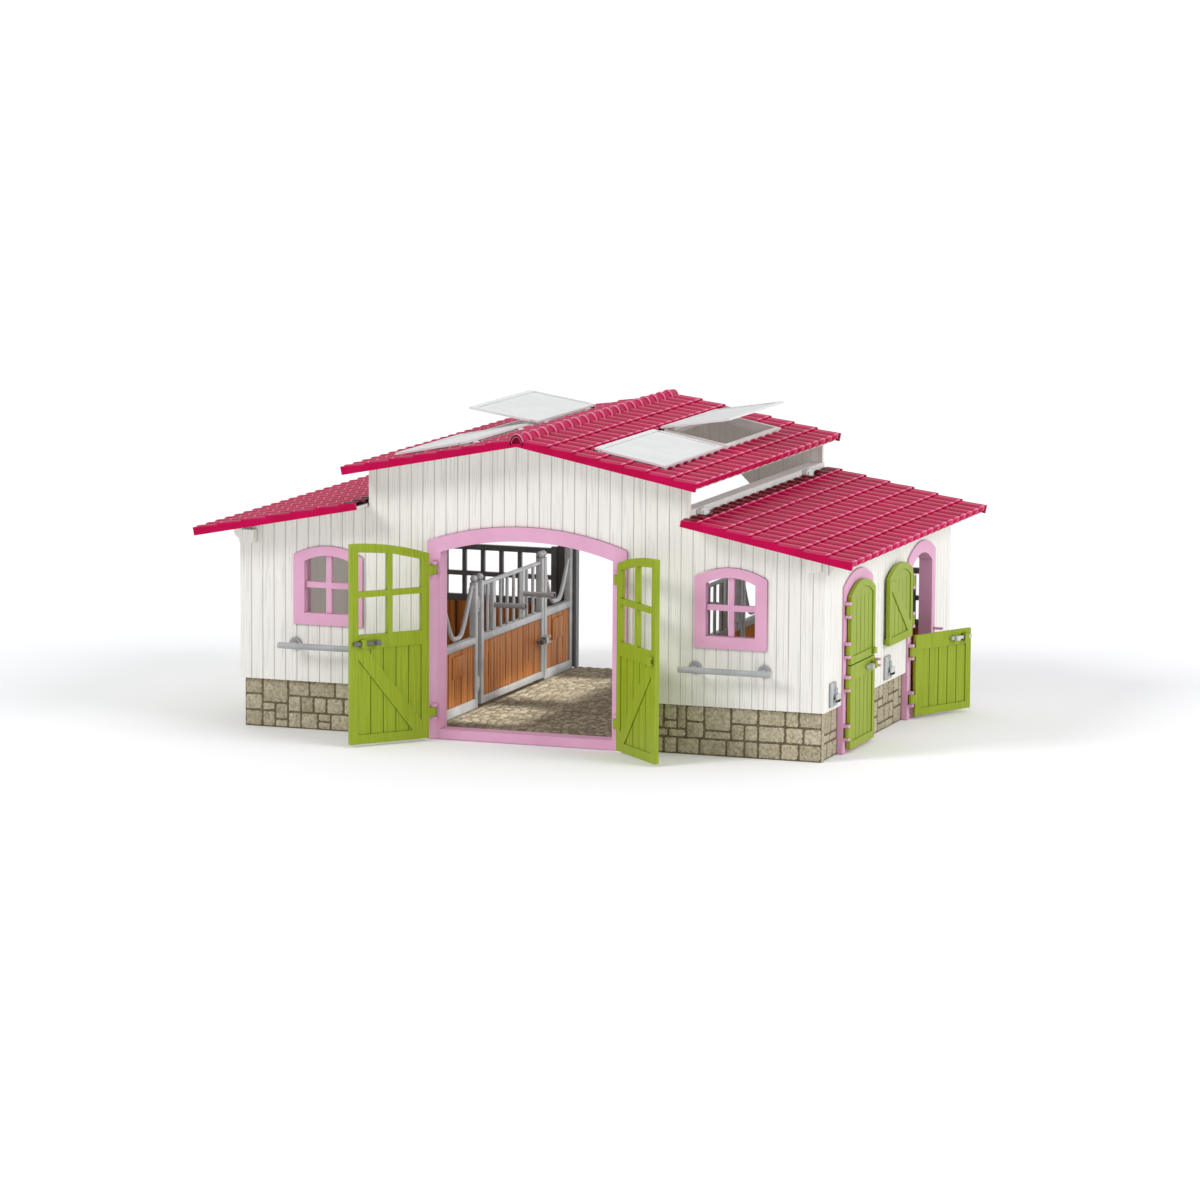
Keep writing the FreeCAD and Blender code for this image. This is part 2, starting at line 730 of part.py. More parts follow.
window_frames = []
for name, sign in SIDES:
    middle = sign * d.window_x
    pane_half = d.window_half - d.window_border
    pane_low = d.window_bottom + d.window_border
    pane_high = d.window_spring - d.window_border / 2
    frame = prism("XZ", [window_outline(sign, 0),
                         arch(middle, pane_half, pane_low, pane_high, d.window_border * 0.55)],
                  (front - 2, front + d.wall_thick + 2))
    upright = box((middle - d.window_bar / 2, middle + d.window_bar / 2), (front + 0.5, front + 4),
                  (pane_low - 1, pane_high + d.window_border * 0.55 + 1))
    cross = box((middle - pane_half - 1, middle + pane_half + 1), (front + 0.5, front + 4),
                (d.window_bar_height - d.window_bar / 2, d.window_bar_height + d.window_bar / 2))
    window_frames.append(fuse(frame, upright, cross))
node(group(*window_frames), "window_frames")

# Main leaves

seam_half = 0.4
seam_deep = 1.3
leaf_planks = 5


def main_leaf(hand):
    back = -d.leaf_thick / 2
    face = d.leaf_thick / 2
    near, far = d.leaf_near, d.leaf_far
    wide = far - near
    rise = d.leaf_high_top - d.leaf_low_top
    # The top is half of a segmental arch that is level at the free edge.
    crown = arc_radius(wide, rise)
    outline = [(near, d.leaf_bottom), (far, d.leaf_bottom), (far, d.leaf_high_top, crown, -1),
               (near, d.leaf_low_top)]
    left, right = near + d.leaf_stile, far - d.leaf_stile
    middle = (near + far) / 2
    half_bar = d.leaf_bar / 2
    low_panes = (d.leaf_pane_bottom, d.leaf_bar_height - half_bar)
    pane_low = d.leaf_bar_height + half_bar
    pane_drop = 7.0
    loops = [outline,
             rectangle((left, middle - half_bar), low_panes),
             rectangle((middle + half_bar, right), low_panes)]
    for u0, u1, drop0, drop1 in ((left, middle - half_bar, rise * 0.8, rise * 0.26),
                                 (middle + half_bar, right, rise * 0.21, rise * 0.01)):
        loops.append([(u0, pane_low), (u1, pane_low), (u1, d.leaf_high_top - pane_drop - drop1),
                      (u0, d.leaf_high_top - pane_drop - drop0)])
    panel = prism("XZ", loops, (back, face))
    # Plank field, sunk into both faces under the lock rail
    field_low, field_high = d.leaf_bottom + 8, d.leaf_rail_low
    sunk = [box((left, right), (hand * face, hand * (face - d.half_recess)), (field_low, field_high)),
            box((left, right), (hand * back, hand * (back + d.half_recess)), (field_low, field_high))]
    plank = (right - left) / leaf_planks
    for index in range(1, leaf_planks):
        seam = left + plank * index
        groove = (seam - seam_half, seam + seam_half)
        sunk.append(box(groove, (hand * (face - seam_deep), hand * face), (field_low, field_high)))
        sunk.append(box(groove, (hand * back, hand * (back + seam_deep)), (field_low, field_high)))
    panel = cut(panel, *sunk)
    # Brace on the inner face, from the foot of the hinge side to the head of the free side
    brace_wide = 8.0
    brace = prism("XZ", [[(left - 0.5, field_low - 0.5), (left + brace_wide, field_low - 0.5),
                          (right + 0.5, field_high - brace_wide), (right + 0.5, field_high + 0.5),
                          (right - brace_wide, field_high + 0.5), (left - 0.5, field_low + brace_wide)]],
                  (hand * back, hand * (back + 1.0)))
    blocks, bores = knuckles(near, main_hinges, hand, back, face)
    return panel, brace, blocks, bores


latch_mid = d.main_bolt_height
latch_gap = 0.3
latch_half = d.bolt_half


def strap(u, w_face, hand, inward, height):
    """A loop over a sliding bar, standing on a face at w_face."""
    way = -1 if inward else 1
    near_w = w_face
    bar_low = w_face + way * latch_gap
    bar_high = bar_low + way * latch_half * 2
    outer_w = bar_high + way * (latch_gap + 1.2)
    half_z = latch_half + latch_gap
    loop = box(u, (hand * (near_w - way * 0.3), hand * outer_w),
               (height - half_z - 1.5, height + half_z + 1.5))
    way_through = box((as_size(u[0]) - 1, as_size(u[1]) + 1),
                      (hand * near_w, hand * (bar_high + way * latch_gap)),
                      (height - half_z, height + half_z))
    return cut(loop, way_through)


def slide_bar(u, w_face, hand, inward, height, knob):
    way = -1 if inward else 1
    bar_low = w_face + way * latch_gap
    bar_high = bar_low + way * latch_half * 2
    bar = box(u, (hand * bar_low, hand * bar_high), (height - latch_half, height + latch_half))
    grip = box(knob, (hand * (bar_high - way * 0.4), hand * (bar_high + way * 3.0)),
               (height - latch_half - 0.6, height + latch_half + 0.6))
    return fuse(bar, grip)


main_back = -d.leaf_thick / 2
for name, sign in SIDES:
    hand = sign
    panel, brace, blocks, bores = main_leaf(hand)
    straps = []
    if name == "left":
        straps.append(strap((as_size(68.5), as_size(72.5)), main_back, hand, True, latch_mid))
    else:
        straps.append(strap((as_size(75.0), as_size(79.0)), main_back, hand, True, latch_mid))
    leaf = cut(fuse(panel, brace, *blocks, *straps), *bores)
    turn = 0 - d.leaf_open_left if sign < 0 else 180 + d.leaf_open_right
    place(leaf, (sign * d.leaf_axis_x, main_axis_y, 0), (0, 0, 1), turn)
    node(leaf, f"{name}_main_door")

main_bolt = slide_bar((as_size(55.0), as_size(79.0)), main_back, -1, True, latch_mid,
                      (as_size(55.0), as_size(59.0)))
place(main_bolt, (-d.leaf_axis_x, main_axis_y, 0), (0, 0, 1), 0 - d.leaf_open_left)
node(main_bolt, "main_door_bolt")

# Side doors

side_face = d.half_width + d.side_proud
side_inner_half = d.side_half - d.side_jamb
side_axis_x = d.half_width + d.side_axis_out
low_hinges = (d.low_hinge_low, d.low_hinge_high)
high_hinges = (d.high_hinge_low, d.high_hinge_high)
# Faces of a half leaf, measured from its hinge axis along w
half_back_w = d.half_back - d.side_axis_out
half_face_w = half_back_w + d.half_thick
keeper_reach = side_axis_x + half_face_w + 2 * latch_gap + 2 * latch_half + 1.0


def side_frame(sign, middle):
    ring = prism("YZ", [
        arch(middle, d.side_half, 0, d.side_spring, d.side_rise),
        arch(middle, side_inner_half, d.floor_thick + 1, d.side_inner_spring, d.side_inner_rise),
    ], (sign * floor_half, sign * side_face))
    lugs = hinge_lugs(sign * side_axis_x, middle - d.side_axis_back,
                      (sign * (side_face - 0.5), sign * (side_axis_x + d.lug_half - 0.4)), "x",
                      low_hinges + high_hinges)
    far_edge = middle - d.side_axis_back + d.half_far
    keeper_y = (far_edge + 1.0, far_edge + 5.0)
    keepers = []
    for way in (-1, 1):
        inner_z = d.bolt_height + way * (latch_half + latch_gap)
        keepers.append(box((sign * (side_face - 0.5), sign * keeper_reach), keeper_y,
                           (inner_z, inner_z + way * 1.8)))
    return fuse(ring, *lugs, *keepers)


def half_leaf(hand, upper):
    near, far = d.half_near, d.half_far
    middle = (near + far) / 2
    half = (far - near) / 2
    border = d.half_border
    if upper:
        outline = arch(middle, half, d.high_bottom, d.high_spring, d.high_rise)
        field = arch(middle, half - border, d.high_bottom + border, d.high_spring - border / 2,
                     d.high_rise * 0.75)
        hinges = high_hinges
        low, high = d.high_bottom + border, d.high_spring - border / 2
    else:
        outline = rectangle((near, far), (d.low_bottom, d.low_top))
        low, high = d.low_bottom + border, d.low_top - 2 * border
        field = rectangle((near + border, far - border), (low, high))
        hinges = low_hinges
    panel = prism("XZ", [outline], (hand * half_back_w, hand * half_face_w))
    sunk = [prism("XZ", [field], (hand * (half_face_w - d.half_recess), hand * (half_face_w + 1))),
            prism("XZ", [field], (hand * (half_back_w + d.half_recess), hand * (half_back_w - 1)))]
    plank = (far - near - 2 * border) / leaf_planks
    for index in range(1, leaf_planks):
        seam = near + border + plank * index
        groove = (seam - seam_half, seam + seam_half)
        sunk.append(box(groove, (hand * (half_face_w - seam_deep), hand * half_face_w), (low, high)))
        sunk.append(box(groove, (hand * half_back_w, hand * (half_back_w + seam_deep)), (low, high)))
    panel = cut(panel, *sunk)
    brace_wide = 7.0
    left, right = near + border, far - border
    brace = prism("XZ", [[(left - 0.5, low - 0.5), (left + brace_wide, low - 0.5),
                          (right + 0.5, high - brace_wide), (right + 0.5, high + 0.5),
                          (right - brace_wide, high + 0.5), (left - 0.5, low + brace_wide)]],
                  (hand * half_back_w, hand * (half_back_w + 1.0)))
    blocks, bores = knuckles(near, hinges, hand, half_back_w + 2.0, half_face_w)
    extras = []
    if upper:
        tab = box((far - 9, far - 1), (hand * (half_face_w - 0.5), hand * (half_face_w + 2.2)),
                  (d.high_bottom + 1, d.high_bottom + 6))
        extras.append(tab)
    else:
        extras.append(strap((as_size(62.0), as_size(67.0)), half_face_w, hand, False, d.bolt_height))
    return cut(fuse(panel, brace, *blocks, *extras), *bores)


for name, sign in SIDES:
    for place_name, middle in zip(PLACES, doorways):
        node(side_frame(sign, middle), f"{name}_{place_name}_door_frame")
        hand = -sign
        is_open = name == "right" and place_name == "rear"
        axis = (sign * side_axis_x, middle - d.side_axis_back, 0)
        low_turn = 90 + hand * (d.low_open if is_open else as_size(0))
        high_turn = 90 + hand * (d.high_open if is_open else as_size(0))
        lower = half_leaf(hand, False)
        place(lower, axis, (0, 0, 1), low_turn)
        node(lower, f"{name}_{place_name}_lower_door")
        upper = half_leaf(hand, True)
        place(upper, axis, (0, 0, 1), high_turn)
        node(upper, f"{name}_{place_name}_upper_door")
        bolt = slide_bar((as_size(47.0), as_size(72.0)), half_face_w, hand, False, d.bolt_height,
                         (as_size(50.0), as_size(54.0)))
        place(bolt, axis, (0, 0, 1), low_turn)
        node(bolt, f"{name}_{place_name}_door_bolt")

# Roofs. A slope is made flat: local x runs down the slope from the ridge, local z is its normal.


def on_slope(sign, thing, base_x, base_z):
    return place(thing, (base_x, 0, base_z), (0, 1, 0), sign * d.pitch_angle)


def slope_point(sign, along, up, base_x, base_z):
    """A point of a slope's section, as (x, z)."""
    along, up = as_size(along), as_size(up)
    x = base_x + along * slope_cos + up * slope_sin
    return sign * x, base_z - along * slope_sin + up * slope_cos


def course_ends(near, far, first):
    """Where the courses of a slope begin and end; first is the length of the upper one."""
    others = int(d.courses.number) - 1
    start = near + first
    return [near] + [start + (far - start) * index / others for index in range(others + 1)]


def tile_field(near, far, first, mirrored):
    """Courses of humped tiles from near to far down the slope, on a flat back."""
    courses = int(d.courses.number)
    low_y, high_y = roof_front.number, roof_rear.number
    columns = int(round((high_y - low_y) / d.tile_pitch.number))
    pitch = (high_y - low_y) / columns
    wave, step = d.tile_wave.number, d.tile_step.number
    low, back = d.tile_low.number, d.deck_thick.number
    profile = []
    for column in range(columns):
        y = low_y + column * pitch
        profile += [(y, 0.0), (y + pitch * 0.5, wave)]
    profile.append((high_y, 0.0))

    def at(s, y, n):
        return Vector(s, y, n)

    def polygon(points):
        return Part.Face(Part.makePolygon(points + [points[0]]))

    faces = []
    starts = course_ends(near, far, first)
    for index in range(courses):
        s0, s1 = starts[index], starts[index + 1]
        for (y0, n0), (y1, n1) in zip(profile, profile[1:]):
            faces.append(polygon([at(s0, y0, low + n0), at(s1, y0, low + step + n0),
                                  at(s1, y1, low + step + n1), at(s0, y1, low + n1)]))
        ending = [at(s1, y, low + step + n) for y, n in profile]
        if index < courses - 1:
            following = [at(s1, y, low + n) for y, n in profile]
        else:
            following = [at(s1, low_y, back), at(s1, high_y, back)]
        faces.append(polygon(ending + following[::-1]))
    faces.append(polygon([at(near, y, low + n) for y, n in profile]
                         + [at(near, high_y, back), at(near, low_y, back)]))
    for y in (low_y, high_y):
        edge = [at(near, y, back)]
        for index in range(courses):
            edge += [at(starts[index], y, low), at(starts[index + 1], y, low + step)]
        edge.append(at(starts[-1], y, back))
        faces.append(polygon(edge))
    faces.append(polygon([at(near, low_y, back), at(near, high_y, back),
                          at(starts[-1], high_y, back), at(starts[-1], low_y, back)]))
    shell = Part.Shell(faces)
    shell.sewShape()
    solid = Part.Solid(shell)
    if solid.Volume < 0:
        solid.reverse()
    return solid.mirror(Vector(), Vector(1, 0, 0)) if mirrored else solid


def tile_lips(sign, near, far):
    """Edges of a tile sheet that hang over the deck at the verges and the eave."""
    top = d.tile_low
    inset = d.deck_inset - d.set_gap
    return [
        box((sign * near, sign * far), (roof_front, roof_front + inset), (0, top)),
        box((sign * near, sign * far), (roof_rear - inset, roof_rear), (0, top)),
        box((sign * (far - inset), sign * far), (roof_front, roof_rear), (0, top)),
    ]


lights = (front + d.light_front, front + d.light_front + d.light_pitch)
light_hinges = (-0.36, 0.36)
lid_knuckle = 10.0
lug_y = 2.5


def light_box(sign, middle, margin, n):
    half = d.light_long / 2 + margin
    along = (sign * (d.light_near - margin), sign * (d.light_far + margin))
    return box(along, (middle - half, middle + half), n)


for name, sign in SIDES:
    deck_y = (roof_front + d.deck_inset, roof_rear - d.deck_inset)
    deck = box((sign * 0.2, sign * (d.main_run - d.deck_inset)), deck_y, (0, d.deck_thick))
    wells = [light_box(sign, middle, -d.light_wall, (-1, d.deck_thick + 1)) for middle in lights]
    deck = cut(deck, *wells)
    on_slope(sign, deck, 0, d.ridge_under)
    node(deck, f"{name}_roof_deck")

    even = (d.main_run.number - d.ridge_clear.number) / d.courses.number
    tiles = fixed_solid(tile_field(d.ridge_clear.number, d.main_run.number, even, sign < 0))
    holes = []
    for middle in lights:
        holes.append(light_box(sign, middle, 0.3, (-1, 20)))
        # Room above the curb for the swinging edge of the lid
        holes.append(box((sign * (d.light_near - 0.9), sign * d.light_far),
                         (middle - d.light_long / 2, middle + d.light_long / 2), (-1, 20)))
    sheet_piece = cut(fuse(tiles, *tile_lips(sign, d.ridge_clear, d.main_run)), *holes)
    on_slope(sign, sheet_piece, 0, d.ridge_under)
    node(sheet_piece, f"{name}_roof_tiles")

    curbs = []
    for middle in lights:
        block = light_box(sign, middle, 0, (d.deck_thick, d.curb_top))
        well = light_box(sign, middle, -d.light_wall, (0, 20))
        half = d.light_long / 2
        lowered = box((sign * (d.light_near - 1), sign * (d.light_near + d.light_wall + 3)),
                      (middle - half - 1, middle + half + 1), (d.deck_thick + 0.6, 20))
        lugs = []
        for share in light_hinges:
            y = middle + d.light_long * share
            inner = lid_knuckle / 2 + 0.3
            for low, high in ((y - inner - lug_y, y - inner), (y + inner, y + inner + lug_y)):
                lugs.append(box((sign * (d.light_axis - 1.9), sign * (d.light_axis + 1.9)), (low, high),
                                (d.deck_thick, d.light_axis_up + d.pin_r)))
            lugs.append(pin("y", (sign * d.light_axis, d.light_axis_up), (y - inner - 1, y + inner + 1)))
        curbs.append(fuse(cut(block, well, lowered), *lugs))
    curb_group = group(*curbs)
    on_slope(sign, curb_group, 0, d.ridge_under)
    node(curb_group, f"{name}_skylight_curbs")

    for place_name, middle in zip(PLACES, lights):
        reach = d.light_far - d.light_axis + 2
        half = d.light_long / 2 + 2
        under = d.curb_top + 0.4 - d.light_axis_up
        plate = box((sign * -d.lid_tail, sign * reach), (-half, half), (under, under + d.lid_thick))
        rim = 5.0
        field = box((sign * (rim - d.lid_tail), sign * (reach - rim)), (-half + rim, half - rim),
                    (under + d.lid_thick - 0.8, under + 10))
        # The hinge corners are cut back, so that they pass inside the tiles.
        corner_long, corner_wide = 6.0, d.light_long / 2 - 0.2
        corners = [box((sign * -5, sign * corner_long), (way * corner_wide, way * (half + 1)), (-10, 20))
                   for way in (-1, 1)]
        blocks, bores = [], []
        for share in light_hinges:
            y = d.light_long * share
            span = (y - lid_knuckle / 2, y + lid_knuckle / 2)
            blocks.append(eight_sided("y", (0, 0), span, d.knuckle))
            blocks.append(box((-1.6, 1.6), span, (0, under + 0.4)))
            bores.append(bore("y", (0, 0), (span[0] - 1, span[1] + 1)))
        lid = cut(fuse(cut(plate, field, *corners), *blocks), *bores)
        axis_x = d.light_axis * slope_cos + d.light_axis_up * slope_sin
        axis_z = d.ridge_under - d.light_axis * slope_sin + d.light_axis_up * slope_cos
        opening = d.lid_open if place_name == "rear" else as_size(0)
        place(lid, (sign * axis_x, middle, axis_z), (0, 1, 0), sign * (d.pitch_angle - opening))
        node(lid, f"{name}_{place_name}_skylight")

# Ridge tiles: a bar over the joint of the decks with a collar at every tile

ridge_low = d.ridge_under + d.deck_thick / slope_cos + 0.1
ridge_count = 20
ridge_pitch = (roof_rear - roof_front) / ridge_count


def ridge_outline(half, top):
    return [(-half, ridge_low), (half, ridge_low), (half * 0.62, top), (half * -0.62, top)]


collar = 0.8
ridge_pieces = [prism("XZ", [ridge_outline(d.ridge_half - collar, d.ridge_top - collar)],
                      (roof_front, roof_rear))]
for index in range(ridge_count):
    start = roof_front + ridge_pitch * index
    ridge_pieces.append(prism("XZ", [ridge_outline(d.ridge_half, d.ridge_top)], (start, start + 7)))
node(fuse(*ridge_pieces), "ridge_tiles")

# Roof rails with the lean-to hinges

lean_hinges = (-0.36, 0.36)
roof_long = roof_rear - roof_front
roof_middle = (roof_rear + roof_front) / 2
lean_knuckle = 14.0
lean_notch = 7.0
for name, sign in SIDES:
    pieces = [box((sign * d.rail_inner, sign * d.rail_outer), (front + d.wall_thick, roof_rear),
                  (d.rail_bottom, d.rail_top))]
    for share in lean_hinges:
        y = roof_middle + roof_long * share
        inner = lean_knuckle / 2 + 0.3
        for low, high in ((y - inner - 3, y - inner), (y + inner, y + inner + 3)):
            pieces.append(box((sign * (d.rail_outer - 0.5), sign * (d.lean_axis_x + 1.9)), (low, high),
                              (d.lean_axis_z - 1.9, d.lean_axis_z + 1.9)))
        pieces.append(pin("y", (sign * d.lean_axis_x, d.lean_axis_z), (y - inner - 1, y + inner + 1)))
    node(fuse(*pieces), f"{name}_roof_rail")

    # The deck, with knuckles that stand up to the hinge axis
    deck_y = (roof_front + d.deck_inset, roof_rear - d.deck_inset)
    deck = prism("XZ", [[slope_point(sign, s, n, d.lean_edge, d.lean_under) for s, n in (
        (0, 0), (d.lean_run - d.deck_inset, 0), (d.lean_run - d.deck_inset, d.deck_thick),
        (0, d.deck_thick))]], deck_y)
    blocks, bores = [], []
    for share in lean_hinges:
        y = roof_middle + roof_long * share
        span = (y - lean_knuckle / 2, y + lean_knuckle / 2)
        blocks.append(eight_sided("y", (sign * d.lean_axis_x, d.lean_axis_z), span, d.knuckle))
        blocks.append(box((sign * d.lean_axis_x, sign * (d.lean_axis_x + 3)), span,
                          (d.lean_under + d.deck_thick - 2, d.lean_axis_z + 1)))
        bores.append(bore("y", (sign * d.lean_axis_x, d.lean_axis_z), (span[0] - 1, span[1] + 1)))
    node(cut(fuse(deck, *blocks), *bores), f"{name}_lean_to_deck")

    tiles = fixed_solid(tile_field(0.0, d.lean_run.number, d.lean_first.number, sign < 0))
    notches = []
    for share in lean_hinges:
        y = roof_middle + roof_long * share
        half = lean_knuckle / 2 + 4.5
        notches.append(box((sign * -1, sign * lean_notch), (y - half, y + half), (-1, 20)))
    sheet_piece = cut(fuse(tiles, *tile_lips(sign, as_size(0), d.lean_run)), *notches)
    on_slope(sign, sheet_piece, sign * d.lean_edge, d.lean_under)
    node(sheet_piece, f"{name}_lean_to_tiles")

# Rear gable on two posts

rear_outline = [
    (d.post_inner, d.post_top), (d.post_outer, d.post_top),
    (d.rail_inner, d.rail_bottom), (d.rail_inner, d.rail_top), (d.nave_half, d.rail_top),
    (d.nave_half, main_wall_top(d.nave_half)), (0, main_wall_top(0)),
    (-d.nave_half, main_wall_top(d.nave_half)), (-d.nave_half, d.rail_top),
    (-d.rail_inner, d.rail_top), (-d.rail_inner, d.rail_bottom),
    (-d.post_outer, d.post_top), (-d.post_inner, d.post_top),
    (-d.brace_x, d.brace_z), (d.brace_x, d.brace_z),
]
node(prism("XZ", [rear_outline], (rear - d.wall_thick - 2, rear - 2)), "rear_gable")

rear_posts = []
for _, sign in SIDES:
    foot = box((sign * d.post_inner, sign * d.post_outer), (rear - 10, rear - 2), (d.paving_top, d.post_top))
    rear_posts.append(foot)
node(group(*rear_posts), "rear_posts")

# Stall fronts


def stall_post(x, y, low):
    shaft = box((x - d.tube / 2, x + d.tube / 2), (y - d.tube / 2, y + d.tube / 2), (low, d.post_high))
    return [shaft, ball((x, y, d.post_high + d.finial_r - 0.5), d.finial_r)]


def rail(x, y, z, thick):
    return box((x - thick / 2, x + thick / 2), y, z)


def feed_tube(x, middle, ends):
    """A tube from post to post that dips in a wide V with a round foot, as a feed gap."""
    half_bar = d.bar_size / 2
    top = d.top_rail
    # One half of its middle line, from the foot outwards, with the way to its upper side
    half_line = [
        (d.feed_foot, d.feed_low, -0.3, 1.0),
        (d.feed_knee, d.feed_low + 7, -0.9, 0.6),
        (d.feed_half, top - 5, -0.8, 0.75),
        (d.feed_half + 4, top, -0.4, 1.0),
    ]
    upper, lower = [], []
    for side in (1, -1):
        steps = half_line if side > 0 else half_line[::-1]
        run_upper = [(middle + side * (out + half_bar * lean), z + half_bar * rise)
                     for out, z, lean, rise in steps]
        run_lower = [(middle + side * (out - half_bar * lean), z - half_bar * rise)
                     for out, z, lean, rise in steps]
        if side > 0:
            upper += run_upper + [(ends[1], top + half_bar)]
            lower += run_lower + [(ends[1], top - half_bar)]
        else:
            upper = [(ends[0], top + half_bar)] + run_upper + upper
            lower = [(ends[0], top - half_bar)] + run_lower + lower
    return prism("YZ", [lower + upper[::-1]], (x - half_bar, x + half_bar))


def feed_bay(x, y0, y1, low):
    """Two posts, two rails and a top tube that dips in a feed gap."""
    inner = (y0 + d.tube / 2 - 0.5, y1 - d.tube / 2 + 0.5)
    pieces = stall_post(x, y0, low) + stall_post(x, y1, low)
    pieces.append(rail(x, inner, (low, d.board_low), d.tube))
    pieces.append(rail(x, inner, (d.board_high, d.mid_rail_top), d.tube))
    pieces.append(feed_tube(x, (y0 + y1) / 2, inner))
    return fuse(*pieces)


def plank_panel(x, y0, y1, sign):
    """Upright boards between a base rail and the rail above them, grooved on the aisle side."""
    thick = 3.0
    boards = int(round((y1.number - y0.number) / 10.5))
    pitch = (y1.number - y0.number) / boards
    aisle = -sign * thick / 2
    sunk = -sign * (thick / 2 - 0.6)
    points = [Vector(aisle, y0.number, 0)]
    for index in range(1, boards):
        y = y0.number + pitch * index
        points += [Vector(aisle, y - 0.5, 0), Vector(sunk, y, 0), Vector(aisle, y + 0.5, 0)]
    points.append(Vector(aisle, y1.number, 0))
    points += [Vector(-aisle, y1.number, 0), Vector(-aisle, y0.number, 0)]
    points.append(points[0])
    tall = d.board_high.number - d.board_low.number
    panel = fixed_solid(Part.Face(Part.makePolygon(points)).extrude(Vector(0, 0, tall)))
    return place(panel, (x, 0, d.board_low))


gate_low = d.paving_top + 1.2
axis_y = front + d.gate_front
gate_near = 4.5
gate_far = d.gate_rear - d.gate_front - 1.0
bay_gap = 4.0
gate_hinges = (d.gate_hinge_low, d.gate_hinge_high)
gate_latch_z = d.gate_latch_height
latch_side = d.tube / 2
infills = []
grilles = []

